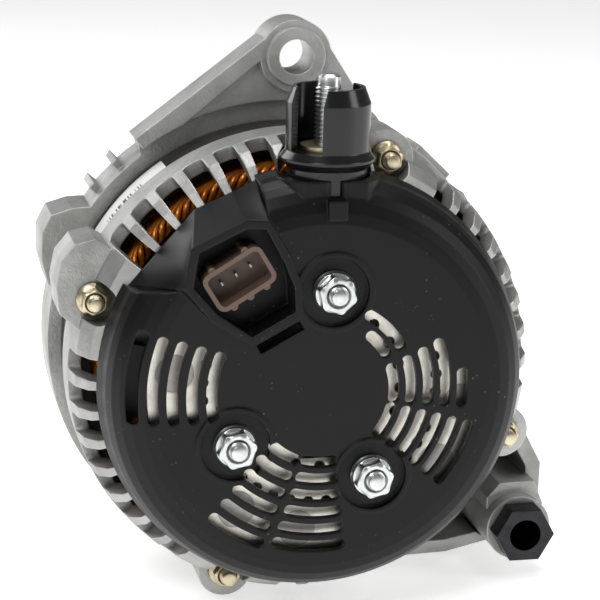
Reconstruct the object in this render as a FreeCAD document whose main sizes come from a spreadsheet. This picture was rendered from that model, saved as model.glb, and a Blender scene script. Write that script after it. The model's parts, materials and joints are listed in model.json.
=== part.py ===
import FreeCAD, Part
import math
import os
import Sketcher

# Car alternator, rear view towards -Y.  Millimetres.
# Frame: the rotor turns on the Y axis, +Y points to the belt drive, Z is up,
# X is to the right when the rear cover is looked at.  Y = 0 is the middle of the belt track.

os.makedirs("parts", exist_ok=True)
doc = FreeCAD.newDocument("CarAlternator")
sheet = doc.addObject("Spreadsheet::Sheet", "Sizes")
Vector = FreeCAD.Vector

drivingSizes = {
    # pulley and shaft
    "pulley_width": (25.0, "width of the grooved pulley"),
    "pulley_radius": (27.5, "outside radius of the pulley"),
    "rib_pitch": (3.56, "distance between belt ribs"),
    "rib_depth": (3.0, "depth of a belt groove"),
    "rib_count": (6, "number of belt grooves"),
    "shaft_radius": (8.5, "shaft radius in the drive end bearing"),
    "spacer_length": (8.5, "collar between pulley and bearing"),
    "nut_height": (9.0, "height of the pulley nut"),
    "nut_flats": (22.0, "pulley nut across flats"),
    # bearings
    "front_bearing_width": (14.0, "drive end bearing"),
    "front_bearing_radius": (23.5, "drive end bearing outside radius"),
    "front_ball_radius": (4.3, "drive end bearing balls"),
    "rear_bearing_width": (11.0, "slip ring end bearing"),
    "rear_bearing_radius": (17.5, "slip ring end bearing outside radius"),
    "rear_shaft_radius": (7.5, "shaft radius in the slip ring end bearing"),
    "rear_ball_radius": (3.0, "slip ring end bearing balls"),
    "race_gap": (0.1, "clearance between balls and races"),
    "race_wall": (3.4, "thickness of a bearing race"),
    # rotor
    "pole_radius": (50.5, "outside radius of the claw poles"),
    "pole_length": (32.0, "length of the claw pole pair"),
    "pole_disc": (9.0, "thickness of each pole disc"),
    "fan_disc": (1.5, "sheet thickness of the fans"),
    "fan_blade": (5.5, "height of the fan blades"),
    "bearing_to_pole": (8.0, "drive end bearing to the pole pair"),
    "pole_to_bearing": (10.0, "pole pair to the slip ring end bearing"),
    "slip_ring_radius": (7.4, "outside radius of the slip rings"),
    "slip_ring_width": (4.6, "width of each slip ring"),
    "slip_ring_gap": (2.2, "insulation between the slip rings"),
    "slip_ring_start": (1.2, "rear housing end face to the first slip ring"),
    # stator
    "core_radius": (68.5, "outside radius of the laminated core"),
    "core_length": (26.0, "length of the laminated core"),
    "air_gap": (0.5, "rotor to stator clearance"),
    "slot_count": (36, "number of winding slots"),
    "slot_depth": (11.0, "depth of a winding slot"),
    "slot_width": (4.6, "width of a winding slot"),
    "overhang": (12.5, "length of winding beyond the core"),
    "liner_gap": (0.3, "winding to slot wall"),
    "rabbet": (2.6, "length of core held inside each housing rim"),
    # housings
    "rear_rim_wall": (2.1, "rear housing wall outside the core"),
    "front_rim_wall": (4.5, "front housing wall outside the core"),
    "housing_wall": (4.0, "wall of both housings"),
    "rear_lip": (1.4, "rear housing end face beyond the slip ring end bearing"),
    "front_lip": (2.9, "front housing end face beyond the drive end bearing"),
    "window_width": (6.5, "width of a cooling window"),
    "window_pitch": (8.1, "angle between cooling windows"),
    "window_corner": (1.8, "corner radius of a cooling window"),
    # through bolts
    "bolt_inset": (0.7, "through bolt centres inside the outside radius of the core"),
    "bolt_radius": (2.5, "through bolt thread radius"),
    "bolt_boss": (8.2, "radius of the bolt bosses"),
    "bolt_start": (70.0, "angle of the first through bolt"),
    "bolt_clearance": (0.3, "clearance round each bolt"),
    "bolt_seat": (10.0, "rear housing end face to the seat of the bolt nuts"),
    "seat_radius": (6.2, "radius of the spot face round each bolt nut"),
    # rear cover
    "cover_radius": (64.0, "outside radius of the rear cover"),
    "cover_depth": (16.6, "depth of the rear cover"),
    "cover_wall": (2.0, "wall of the rear cover"),
    "cover_edge": (13.0, "rounding of the cover edge"),
    "cover_draft": (1.2, "taper of the cover rim"),
    "vent_width": (3.4, "width of a vent slot"),
    "stud_circle": (30.0, "radius of the cover stud circle"),
    "stud_radius": (3.0, "cover stud thread radius"),
    "stud_first": (86.0, "angle of the upper cover stud"),
    "stud_second": (210.0, "angle of the left cover stud"),
    "stud_third": (300.0, "angle of the right cover stud"),
    "recess_radius": (10.2, "radius of the recess round each cover nut"),
    "recess_depth": (1.4, "depth of the recess round each cover nut"),
    "cover_nut_flats": (10.0, "cover nut across flats"),
    "cover_nut_flange": (6.4, "flange radius of the cover nut"),
    # connector
    "hood_rise": (2.0, "hood edge above the cover face"),
    "hood_wall": (2.0, "wall of the connector hood"),
    "plug_long": (19.4, "socket length across the terminals"),
    "plug_short": (12.2, "socket width"),
    "plug_wall": (1.3, "socket wall"),
    "plug_depth": (9.5, "socket depth"),
    "plug_angle": (32.0, "tilt of the socket"),
    "blade_pitch": (4.8, "distance between terminal blades"),
    # battery terminal
    "terminal_x": (2.2, "battery stud centre across"),
    "terminal_back": (2.0, "battery stud centre behind the rear housing end face"),
    "terminal_radius": (4.0, "battery stud thread radius"),
    "terminal_shoulder": (0.6, "step of the plain battery stud shank below the washer"),
    "terminal_top": (90.5, "top of the battery stud above the rotor axis"),
    "terminal_seat": (68.8, "top of the insulator flange above the rotor axis"),
    "collar_radius": (12.0, "insulator collar radius"),
    "collar_flange": (13.8, "insulator flange radius"),
    "collar_bottom": (55.5, "lower end of the insulator above the rotor axis"),
    "guard_top": (87.0, "top of the insulator guard above the rotor axis"),
    # mounting ears
    "ear_thickness": (15.0, "thickness of the upper ear"),
    "ear_bore": (5.4, "bore radius of the upper ear"),
    "ear_radius": (11.2, "outside radius of the upper ear"),
    "ear_x": (3.0, "upper ear centre across"),
    "ear_z": (88.9, "upper ear centre above the rotor axis"),
    "ear_web": (7.0, "thickness of the ear webs"),
    "lower_x": (74.1, "lower ear centre across"),
    "lower_z": (59.0, "lower ear centre below the rotor axis"),
    "lower_radius": (10.5, "outside radius of the lower ear"),
    "lower_length": (34.0, "length of the lower ear"),
    "bush_radius": (7.2, "outside radius of the ear bushing"),
    "bush_bore": (5.1, "bore radius of the ear bushing"),
    "bush_flats": (16.6, "bushing head across flats"),
    "bush_head": (7.0, "length of the bushing head"),
    # rectifier, regulator and brushes
    "sink_thickness": (2.5, "thickness of the rectifier plates"),
    "sink_inner": (17.5, "inner radius of the rectifier plates"),
    "sink_outer": (51.0, "outer radius of the rectifier plates"),
    "sink_lift": (1.5, "rear housing to the negative plate"),
    "sink_space": (5.0, "space between the rectifier plates"),
    "diode_radius": (5.6, "press fit diode radius"),
    "diode_circle": (43.5, "radius of the diode circle"),
    "brush_width": (4.0, "brush width along the shaft"),
    "brush_breadth": (6.0, "brush breadth across the shaft"),
    "brush_length": (6.6, "length of a new brush"),
    "brush_gap": (0.1, "brush to slip ring and brush to holder"),
    "brush_travel": (2.5, "travel of a brush in its holder"),
    "brush_spring": (4.6, "length of the brush spring"),
}

for row, (alias, (value, note)) in enumerate(drivingSizes.items(), start=1):
    sheet.set(f"A{row}", note)
    sheet.set(f"B{row}", str(value))
    sheet.setAlias(f"B{row}", alias)
doc.recompute()


class Measure:
    """A size that keeps its number together with the sheet expression it comes from."""

    def __init__(self, number, text):
        self.number = number
        self.text = text

    def __add__(self, other):
        other = measure(other)
        return Measure(self.number + other.number, f"({self.text} + {other.text})")

    def __sub__(self, other):
        other = measure(other)
        return Measure(self.number - other.number, f"({self.text} - {other.text})")

    def __mul__(self, other):
        other = measure(other)
        return Measure(self.number * other.number, f"({self.text} * {other.text})")

    def __truediv__(self, other):
        other = measure(other)
        return Measure(self.number / other.number, f"({self.text} / {other.text})")

    def __radd__(self, other):
        return measure(other) + self

    def __rsub__(self, other):
        return measure(other) - self

    def __rmul__(self, other):
        return measure(other) * self

    def __neg__(self):
        return measure(0.0) - self


def measure(value):
    if isinstance(value, Measure):
        return value
    return Measure(float(value), f"{float(value):.6f}")


class SheetSizes:
    """Reads a named size of the sheet as a Measure."""

    def __getattr__(self, alias):
        return Measure(float(sheet.get(alias)), f"Sizes.{alias}")


size = SheetSizes()


def cosine(angle):
    angle = measure(angle)
    return Measure(math.cos(math.radians(angle.number)), f"cos({angle.text})")


def sine(angle):
    angle = measure(angle)
    return Measure(math.sin(math.radians(angle.number)), f"sin({angle.text})")


def bind(thing, name, value):
    thing.setExpression(name, measure(value).text)


def place(thing, x, y, z, rotation=None):
    """Turn a primitive, then bind its corner or centre."""
    if rotation is not None:
        thing.Placement = FreeCAD.Placement(Vector(), rotation)
    for axis, value in zip("xyz", (x, y, z)):
        bind(thing, f"Placement.Base.{axis}", value)
    return thing


alongShaft = FreeCAD.Rotation(Vector(1, 0, 0), -90)


def aroundShaft(angle):
    """Rotation that carries the X axis to an angle counted from +X towards +Z."""
    return FreeCAD.Rotation(Vector(0, 1, 0), -measure(angle).number)


def rod(name, radius, start, length, x=0.0, z=0.0):
    """Cylinder along the shaft direction that begins at a station and runs towards +Y."""
    thing = doc.addObject("Part::Cylinder", name)
    bind(thing, "Radius", radius)
    bind(thing, "Height", length)
    return place(thing, x, start, z, alongShaft)


def post(name, radius, bottom, height, x=0.0, y=0.0):
    """Upright cylinder."""
    thing = doc.addObject("Part::Cylinder", name)
    bind(thing, "Radius", radius)
    bind(thing, "Height", height)
    return place(thing, x, y, bottom)


def block(name, start, extent, rotation=None):
    """Box from its low corner and its extents."""
    thing = doc.addObject("Part::Box", name)
    for prop, value in zip(("Length", "Width", "Height"), extent):
        bind(thing, prop, value)
    return place(thing, *start, rotation)


def spoke(name, inner, outer, width, start, length, angle):
    """Box that lies along a radius: inner to outer radius, width across, length along the shaft."""
    inner, width, angle = measure(inner), measure(width), measure(angle)
    x = inner * cosine(angle) + width / 2 * sine(angle)
    z = inner * sine(angle) - width / 2 * cosine(angle)
    return block(name, (x, start, z), (outer - inner, length, width), aroundShaft(angle))


def hexagon(name, flats, start, height, x=0.0, z=0.0, rotation=alongShaft):
    thing = doc.addObject("Part::Prism", name)
    thing.Polygon = 6
    bind(thing, "Circumradius", measure(flats) / math.sqrt(3.0))
    bind(thing, "Height", height)
    return place(thing, x, start, z, rotation)


def fuse(name, pieces, refine=True):
    thing = doc.addObject("Part::MultiFuse", name)
    thing.Shapes = pieces
    thing.Refine = refine
    return thing


def cut(name, base, tools, refine=True):
    tool = tools[0] if len(tools) == 1 else fuse(name + "_tools", tools)
    thing = doc.addObject("Part::Cut", name)
    thing.Base = base
    thing.Tool = tool
    thing.Refine = refine
    return thing


def group(name, pieces):
    thing = doc.addObject("Part::Compound", name)
    thing.Links = pieces
    return thing


def rounded(name, base, radius, chosen):
    """Fillet the edges of a primitive that the chooser accepts."""
    doc.recompute()
    thing = doc.addObject("Part::Fillet", name)
    thing.Base = base
    radius = measure(radius).number
    numbers = [i for i, edge in enumerate(base.Shape.Edges, start=1) if chosen(edge)]
    thing.Edges = [(i, radius, radius) for i in numbers]
    return thing


def made(name, shape):
    """Object whose shape comes from the Part functions."""
    thing = doc.addObject("Part::Feature", name)
    thing.Shape = shape
    return thing


def originPlane(body, role):
    return next(item for item in body.Origin.OriginFeatures if item.Role == role)


def drawOutline(sketch, outline):
    """Closed outline of straight lines, with both coordinates of every corner bound."""
    corners = [(measure(a), measure(b)) for a, b in outline]
    count = len(corners)
    for i in range(count):
        here = corners[i]
        there = corners[(i + 1) % count]
        start = Vector(here[0].number, here[1].number, 0)
        end = Vector(there[0].number, there[1].number, 0)
        sketch.addGeometry(Part.LineSegment(start, end), False)
    for i in range(count):
        sketch.addConstraint(Sketcher.Constraint("Coincident", i, 2, (i + 1) % count, 1))
    for i, corner in enumerate(corners):
        for kind, axis, value in zip(("DistanceX", "DistanceY"), (-2, -1), corner):
            if value.number == 0:
                sketch.addConstraint(Sketcher.Constraint("PointOnObject", i, 1, axis))
                continue
            index = sketch.addConstraint(Sketcher.Constraint(kind, -1, 1, i, 1, value.number))
            sketch.setExpression(f"Constraints[{index}]", value.text)


def turned(name, outline):
    """Body of revolution about the rotor axis; the outline is given as (radius, station)."""
    body = doc.addObject("PartDesign::Body", name)
    sketch = body.newObject("Sketcher::SketchObject", name + "_outline")
    sketch.AttachmentSupport = [(originPlane(body, "XY_Plane"), "")]
    sketch.MapMode = "FlatFace"
    drawOutline(sketch, outline)
    turn = body.newObject("PartDesign::Revolution", name + "_turn")
    turn.Profile = sketch
    turn.ReferenceAxis = (sketch, ["V_Axis"])
    turn.Angle = 360
    body.Tip = turn
    return body


def ring(name, inner, outer, start, length):
    start = measure(start)
    end = start + length
    return turned(name, [(inner, start), (outer, start), (outer, end), (inner, end)])


def plate(name, outline, start, length):
    """Flat-sided body with an (x, z) outline that runs from a station towards +Y."""
    body = doc.addObject("PartDesign::Body", name)
    sketch = body.newObject("Sketcher::SketchObject", name + "_outline")
    sketch.AttachmentSupport = [(originPlane(body, "XZ_Plane"), "")]
    sketch.MapMode = "FlatFace"
    bind(sketch, "AttachmentOffset.Base.z", -measure(start))
    drawOutline(sketch, outline)
    pad = body.newObject("PartDesign::Pad", name + "_pad")
    pad.Profile = sketch
    bind(pad, "Length", length)
    pad.Reversed = True
    body.Tip = pad
    return body


def sector(name, inner, outer, start, length, first, last):
    """Flat ring segment between two angles."""
    inner, outer = measure(inner), measure(outer)
    pieces = []
    for label, radius in (("outer", outer), ("inner", inner)):
        thing = doc.addObject("Part::Cylinder", f"{name}_{label}")
        bind(thing, "Radius", radius)
        bind(thing, "Height", length)
        bind(thing, "Angle", measure(last) - first)
        # the sweep of a cylinder laid along +Y runs backwards, so it starts at the last angle
        turn = aroundShaft(last).multiply(alongShaft)
        pieces.append(place(thing, 0.0, start, 0.0, turn))
    return cut(name, pieces[0], [pieces[1]])


def arcSlot(radius, width, start, length, first, last):
    """Rounded slot that follows a circle about the rotor axis."""
    half = width / 2

    def point(distance, angle):
        turn = math.radians(angle)
        return Vector(distance * math.cos(turn), start, distance * math.sin(turn))

    middle = (first + last) / 2
    outer, inner = radius + half, radius - half
    endTurn = math.degrees(half / radius)
    outline = [
        Part.Arc(point(outer, first), point(outer, middle), point(outer, last)).toShape(),
        Part.Arc(point(outer, last), point(radius, last + endTurn), point(inner, last)).toShape(),
        Part.Arc(point(inner, last), point(inner, middle), point(inner, first)).toShape(),
        Part.Arc(point(inner, first), point(radius, first - endTurn), point(outer, first)).toShape(),
    ]
    return Part.Face(Part.Wire(outline)).extrude(Vector(0, length, 0))


def boltAngles():
    return [size.bolt_start + 90.0 * i for i in range(4)]


def boltRods(name, radius, start, length):
    rods = []
    for i, angle in enumerate(boltAngles()):
        x = boltCircle * cosine(angle)
        z = boltCircle * sine(angle)
        rods.append(rod(f"{name}_{i}", radius, start, length, x, z))
    return rods


nodes = []


def node(thing, label):
    thing.Label = label
    nodes.append(thing)
    return thing


# ---------------------------------------------------------------- stations along the shaft
halfPulley = size.pulley_width / 2
frontBearingFace = -halfPulley - size.spacer_length
frontBearingBack = frontBearingFace - size.front_bearing_width
poleFront = frontBearingBack - size.bearing_to_pole
poleBack = poleFront - size.pole_length
poleMiddle = poleFront - size.pole_length / 2
rearBearingFace = poleBack - size.pole_to_bearing
rearBearingBack = rearBearingFace - size.rear_bearing_width
coreFront = poleMiddle + size.core_length / 2
coreBack = poleMiddle - size.core_length / 2
frontRim = coreFront - size.rabbet
rearRim = coreBack + size.rabbet
frontEnd = frontBearingFace + size.front_lip
rearEnd = rearBearingBack - size.rear_lip
frontDepth = frontEnd - frontRim
rearDepth = rearRim - rearEnd
coverRim = rearEnd - 0.1
coverFace = coverRim - size.cover_depth
recessFloor = coverFace + size.recess_depth
slipStart = rearEnd - size.slip_ring_start
slipEnd = slipStart - size.slip_ring_width * 2 - size.slip_ring_gap
coreInner = size.pole_radius + size.air_gap
boltCircle = size.core_radius - size.bolt_inset

# ---------------------------------------------------------------- stator
slotOuter = coreInner + size.slot_depth
slots = []
bars = []
slotCount = int(size.slot_count.number)
for i in range(slotCount):
    angle = 360.0 / slotCount * i
    slots.append(spoke(f"slot_{i}", coreInner - 1, slotOuter, size.slot_width,
                       coreBack - 1, size.core_length + 2, angle))
    barWidth = size.slot_width - size.liner_gap * 2
    bars.append(spoke(f"bar_{i}", coreInner + 1.2, slotOuter - size.liner_gap, barWidth,
                      coreBack - 1.5, size.core_length + 3, angle))
coreRing = ring("core_ring", coreInner, size.core_radius, coreBack, size.core_length)
grooves = boltRods("core_groove", size.bolt_radius + size.bolt_clearance * 2, coreBack - 1, size.core_length + 2)
node(cut("core_cut", coreRing, slots + grooves), "stator_core")

windingInner = coreInner + 1.2
windingOuter = slotOuter + 0.6
windingRings = []
for side, start in (("rear", coreBack - size.overhang), ("front", coreFront + size.liner_gap)):
    end = start + size.overhang - size.liner_gap
    windingRings.append(ring(f"winding_{side}", windingInner, windingOuter, start, end - start))
node(fuse("winding_all", bars + windingRings), "stator_winding")

labelRadius = size.core_radius + 0.25
label = sector("label_sheet", size.core_radius, labelRadius, rearRim + 2.0,
               size.core_length - size.rabbet * 2 - 5.5, 124.0, 152.0)
node(label, "stator_label")


# ---------------------------------------------------------------- housings
def windowAngles():
    """Angles of the cooling windows: eight in the middle of each quarter between two bolts."""
    angles = []
    for quarter in range(4):
        for i in range(8):
            angles.append(size.bolt_start + 90.0 * quarter + 45 + size.window_pitch * (i - 3.5))
    return angles


def cornerEdges(angle):
    """Chooser for the edges of a window block that run along its radius."""
    turn = math.radians(measure(angle).number)
    along = Vector(math.cos(turn), 0, math.sin(turn))

    def chosen(edge):
        direction = (edge.Vertexes[1].Point - edge.Vertexes[0].Point).normalize()
        return abs(direction.dot(along)) > 0.99
    return chosen


def windows(name, inner, outer, start, length):
    cutters = []
    for i, angle in enumerate(windowAngles()):
        raw = spoke(f"{name}_window_{i}", inner, outer, size.window_width, start, length, angle)
        cutters.append(rounded(f"{name}_round_{i}", raw, size.window_corner, cornerEdges(angle)))
    return cutters


rearOuter = size.core_radius + size.rear_rim_wall
rearHub = size.rear_bearing_radius + size.housing_wall
hubEnd = rearBearingFace + 0.4
rearShell = turned("rear_shell", [
    (size.core_radius, rearRim),
    (rearOuter, rearRim),
    (rearOuter, rearEnd + 16),
    (rearOuter - 1.4, rearEnd + 8),
    (rearOuter - 4.6, rearEnd + 2.4),
    (rearOuter - 9, rearEnd),
    (size.slip_ring_radius + 2.1, rearEnd),
    (size.slip_ring_radius + 2.1, rearBearingBack),
    (size.rear_bearing_radius, rearBearingBack),
    (size.rear_bearing_radius, hubEnd),
    (rearHub, hubEnd),
    (rearHub, rearEnd + size.housing_wall),
    (rearOuter - 10, rearEnd + size.housing_wall),
    (rearOuter - 4.1, rearEnd + 14),
    (rearOuter - 4.1, coreBack),
    (size.core_radius, coreBack),
])
nutSeat = rearEnd + size.bolt_seat
bossLength = rearRim - nutSeat
rearBosses = boltRods("rear_boss", size.bolt_boss, nutSeat, bossLength)
rearWebs = [spoke(f"rear_web_{i}", boltCircle - 5.2, boltCircle, size.bolt_boss * 2,
                  nutSeat, bossLength, angle) for i, angle in enumerate(boltAngles())]
leftBoltX = boltCircle * cosine(size.bolt_start + 90)
leftBoltZ = boltCircle * sine(size.bolt_start + 90)
rearLobe = plate("rear_lobe", [
    (leftBoltX + 5.7, leftBoltZ + 14.8),
    (leftBoltX + 0.7, leftBoltZ + 17.8),
    (leftBoltX - 5.3, leftBoltZ + 16.3),
    (leftBoltX - 9.3, leftBoltZ + 11.3),
    (leftBoltX - 10.8, leftBoltZ + 3.8),
    (leftBoltX - 9.8, leftBoltZ - 4.2),
    (leftBoltX - 2.3, leftBoltZ - 11.2),
    (leftBoltX + 5.7, leftBoltZ - 3.2),
], nutSeat, bossLength)
studAngles = [size.stud_first, size.stud_second, size.stud_third]


def studRods(name, radius, start, length):
    rods = []
    for i, angle in enumerate(studAngles):
        x = size.stud_circle * cosine(angle)
        z = size.stud_circle * sine(angle)
        rods.append(rod(f"{name}_{i}", radius, start, length, x, z))
    return rods


padLift = size.sink_lift
studPads = studRods("stud_pad", 7.0, rearEnd - padLift, padLift + 1)
rearSolid = fuse("rear_solid", [rearShell, rearLobe] + rearBosses + rearWebs + studPads)
windowInner = rearOuter - 11.5
rearCuts = windows("rear", windowInner, rearOuter + 4, rearEnd - 3, 19.0)
rearCuts += boltRods("rear_bolt_hole", size.bolt_radius + size.bolt_clearance, rearEnd, rearDepth + 2)
rearCuts += studRods("rear_stud_hole", size.stud_radius, rearEnd - padLift - 1, size.housing_wall + padLift - 0.5)
rearCuts += boltRods("rear_seat", size.seat_radius, rearEnd - 2, size.bolt_seat + 2)
rearCuts.append(rod("rear_core_space", size.core_radius, coreBack, rearDepth))
rearCuts.append(rod("rear_coil_space", windingOuter + 0.6, coreBack - size.overhang - 0.9,
                    size.overhang + 1.5))
terminalY = rearEnd - size.terminal_back
terminalNotch = post("terminal_notch", size.collar_flange + 0.6, size.collar_bottom - 4, 40.0,
                     size.terminal_x, terminalY)
rearCuts.append(terminalNotch)
leadAngles = [190.0, 199.0, 208.0, 334.0, 343.0, 352.0]
leadCircle = size.sink_outer + 3.4
for i, angle in enumerate(leadAngles):
    x = leadCircle * cosine(angle)
    z = leadCircle * sine(angle)
    rearCuts.append(rod(f"lead_hole_{i}", 2.2, rearEnd - 1, size.housing_wall + 4, x, z))
for i in range(14):
    angle = 360.0 / 14 * i + 8
    rearCuts.append(spoke(f"rear_air_{i}", rearHub + 2.5, rearHub + 21, 5.2, rearEnd - 1,
                          size.housing_wall + 2, angle))
node(cut("rear_housing_cut", rearSolid, rearCuts), "rear_housing")

frontOuter = size.core_radius + size.front_rim_wall
frontHub = size.front_bearing_radius + size.housing_wall
frontShell = turned("front_shell", [
    (size.core_radius, frontRim),
    (frontOuter, frontRim),
    (frontOuter, frontEnd - 12),
    (frontOuter - 2.2, frontEnd - 7),
    (frontOuter - 10, frontEnd - 2.2),
    (frontHub + 3, frontEnd),
    (size.front_bearing_radius - 4, frontEnd),
    (size.front_bearing_radius - 4, frontBearingFace),
    (size.front_bearing_radius, frontBearingFace),
    (size.front_bearing_radius, frontBearingBack),
    (frontHub + 3, frontBearingBack),
    (frontHub + 3, frontEnd - size.housing_wall - 0.6),
    (frontOuter - 12, frontEnd - size.housing_wall - 3),
    (frontOuter - 5, frontEnd - 13),
    (frontOuter - 5, coreFront),
    (size.core_radius, coreFront),
])
earStart = frontRim - 4.0
webStart = frontRim - 2.0
frontBosses = boltRods("front_boss", size.bolt_boss + 0.9, frontRim, frontDepth - 12)
frontWebs = [spoke(f"front_web_{i}", boltCircle - 4.8, boltCircle, size.bolt_boss * 2 + 1.6,
                   frontRim, frontDepth - 12, angle) for i, angle in enumerate(boltAngles())]
frontLobe = plate("front_lobe", [
    (leftBoltX + 5.9, leftBoltZ + 19.2),
    (leftBoltX - 1.5, leftBoltZ + 18.7),
    (leftBoltX - 7.9, leftBoltZ + 16.7),
    (leftBoltX - 10.8, leftBoltZ + 11.1),
    (leftBoltX - 11.0, leftBoltZ + 2.5),
    (leftBoltX - 9.0, leftBoltZ - 5.2),
    (leftBoltX - 2.3, leftBoltZ - 11.0),
    (leftBoltX + 6.0, leftBoltZ - 4.0),
], frontRim, frontDepth - 12)
rimBand = sector("rim_band", frontOuter - 2, frontOuter + 5, frontRim, 6.0, 72.0, 120.0)
upperWeb = plate("upper_web", [
    (size.ear_x - 46, size.ear_z - 35.4),
    (size.ear_x - 49, size.ear_z - 24.8),
    (size.ear_x - size.ear_radius * 0.84, size.ear_z + size.ear_radius * 0.52),
    (size.ear_x + size.ear_radius * 0.86, size.ear_z + size.ear_radius * 0.42),
    (size.ear_x + 25, size.ear_z - 20),
    (size.ear_x + 33, size.ear_z - 33),
], webStart, size.ear_web)
upperRib = plate("upper_rib", [
    (size.ear_x - 49.6, size.ear_z - 25),
    (size.ear_x - size.ear_radius * 0.84, size.ear_z + size.ear_radius * 0.52),
    (size.ear_x - size.ear_radius * 0.62, size.ear_z + size.ear_radius * 0.18),
    (size.ear_x - 45.5, size.ear_z - 29.8),
], earStart, size.ear_thickness - 1.5)
upperRibRight = plate("upper_rib_right", [
    (size.ear_x + size.ear_radius * 0.88, size.ear_z + size.ear_radius * 0.36),
    (size.ear_x + 27, size.ear_z - 22),
    (size.ear_x + 32.5, size.ear_z - 34),
    (size.ear_x + 26.5, size.ear_z - 31),
    (size.ear_x + size.ear_radius * 0.55, size.ear_z + size.ear_radius * 0.02),
], earStart, size.ear_thickness - 1.5)
upperBoss = rod("upper_boss", size.ear_radius, earStart, size.ear_thickness, size.ear_x, size.ear_z)
upperRing = rod("upper_ring", size.ear_radius - 2.2, earStart - 1.2, 3.0, size.ear_x, size.ear_z)

lowerZ = -size.lower_z
lowerStart = frontRim - 30.0
lowerBoss = rod("lower_boss", size.lower_radius, lowerStart, size.lower_length, size.lower_x, lowerZ)
lowerWeb = plate("lower_web", [
    (size.lower_x - 7, lowerZ + 47),
    (size.lower_x + 2.4, lowerZ + 31),
    (size.lower_x + 10.5, lowerZ + 17.5),
    (size.lower_x + size.lower_radius, lowerZ),
    (size.lower_x - 2, lowerZ - size.lower_radius),
    (size.lower_x - 19, lowerZ - 13.2),
    (size.lower_x - 42, lowerZ - 13.5),
    (size.lower_x - 49, lowerZ - 8),
    (size.lower_x - 22, lowerZ + 20),
], frontRim + 2, size.ear_web + 4)
lowerOuterRib = plate("lower_outer_rib", [
    (size.lower_x + 4.2, lowerZ + 29),
    (size.lower_x + 10.5, lowerZ + 17.5),
    (size.lower_x + size.lower_radius, lowerZ),
    (size.lower_x + size.lower_radius - 4, lowerZ),
    (size.lower_x + 5.5, lowerZ + 16.5),
    (size.lower_x - 1.5, lowerZ + 29),
], frontRim - 18, size.ear_web + 20)
lowerInnerRib = plate("lower_inner_rib", [
    (size.lower_x - 4, lowerZ - size.lower_radius + 0.8),
    (size.lower_x - 19, lowerZ - 13.2),
    (size.lower_x - 38, lowerZ - 13.8),
    (size.lower_x - 38, lowerZ - 9.5),
    (size.lower_x - 19, lowerZ - 9),
    (size.lower_x - 9, lowerZ - 7),
], frontRim - 14, size.ear_web + 18)
lowerBlock = plate("lower_block", [
    (size.lower_x - 9.3, lowerZ),
    (size.lower_x - 9.3, lowerZ + 8.8),
    (size.lower_x - 5.2, lowerZ + 13.4),
    (size.lower_x + 6.3, lowerZ + 13.8),
    (size.lower_x + 9.5, lowerZ + 6),
    (size.lower_x + 8, lowerZ - 2),
    (size.lower_x - 6, lowerZ - 6),
], lowerStart + 5, size.lower_length - 6)
fins = [spoke(f"fin_{i}", frontOuter - 2, frontOuter + 3.0, 2.2, frontRim + 4, 16.0, angle)
        for i, angle in enumerate((133.0, 140.6))]
steps = [spoke(f"step_{i}", frontOuter - 3, frontOuter + 1.8, width, frontRim + 3, 15.0, angle)
         for i, (angle, width) in enumerate(((17.0, 10.0), (31.0, 12.0), (47.0, 14.0)))]
frontSolid = fuse("front_solid", [frontShell, upperWeb, upperRib, upperRibRight, upperBoss, upperRing,
                                  lowerBoss, lowerWeb, lowerOuterRib, lowerInnerRib, lowerBlock,
                                  frontLobe, rimBand]
                  + frontBosses + frontWebs + fins + steps, refine=False)
threadDepth = frontDepth - 16
frontCuts = windows("front", frontOuter - 17, frontOuter + 5, frontEnd - 12.5, 16.0)
frontCuts += boltRods("front_thread", size.bolt_radius, frontRim - 1, threadDepth + 1)
frontCuts += boltRods("front_bolt_path", size.bolt_radius + size.bolt_clearance, lowerStart - 2,
                      frontRim - lowerStart + 2)
frontCuts.append(rod("upper_bore", size.ear_bore, earStart - 3, size.ear_thickness + 6,
                     size.ear_x, size.ear_z))
frontCuts.append(rod("lower_bore", size.bush_radius, lowerStart - 2, size.lower_length + 8,
                     size.lower_x, lowerZ))
frontCuts.append(rod("front_core_space", size.core_radius, lowerStart - 2, coreFront - lowerStart + 2))
frontCuts.append(rod("front_coil_space", windingOuter + 0.6, coreFront - 1, size.overhang + 1.5))
frontCuts.append(rod("core_band_space", frontOuter + 2, lowerStart - 2, frontRim - lowerStart + 2))
for i in range(12):
    angle = 30.0 * i + 11
    frontCuts.append(spoke(f"front_air_{i}", frontHub + 6, frontOuter - 20, 9.0, frontEnd - 8,
                           12.0, angle))
node(cut("front_housing_cut", frontSolid, frontCuts, refine=False), "front_housing")

# ---------------------------------------------------------------- through bolts
boltTail = rearEnd + 1.8
boltRodsAll = boltRods("through_bolt", size.bolt_radius, boltTail, frontRim + threadDepth - 1 - boltTail)
node(group("through_bolt_set", boltRodsAll), "through_bolts")


def flangeNut(name, x, z, seat, flats, flange, bore, height):
    """Hexagon nut with a flange; it stands on its seat and points away from the drive end."""
    flangeHeight = height * 0.25
    disc = rod(f"{name}_disc", flange, seat - flangeHeight, flangeHeight, x, z)
    body = hexagon(f"{name}_hex", flats, seat - height, height, x, z)
    hole = rod(f"{name}_hole", bore, seat - height - 1, height + 2, x, z)
    return cut(name, fuse(f"{name}_solid", [disc, body]), [hole])


boltNuts = []
for i, angle in enumerate(boltAngles()):
    boltNuts.append(flangeNut(f"bolt_nut_{i}", boltCircle * cosine(angle), boltCircle * sine(angle),
                              nutSeat, 7.0, 5.0, size.bolt_radius, measure(5.0)))
node(group("bolt_nut_set", boltNuts), "through_bolt_nuts")

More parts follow.
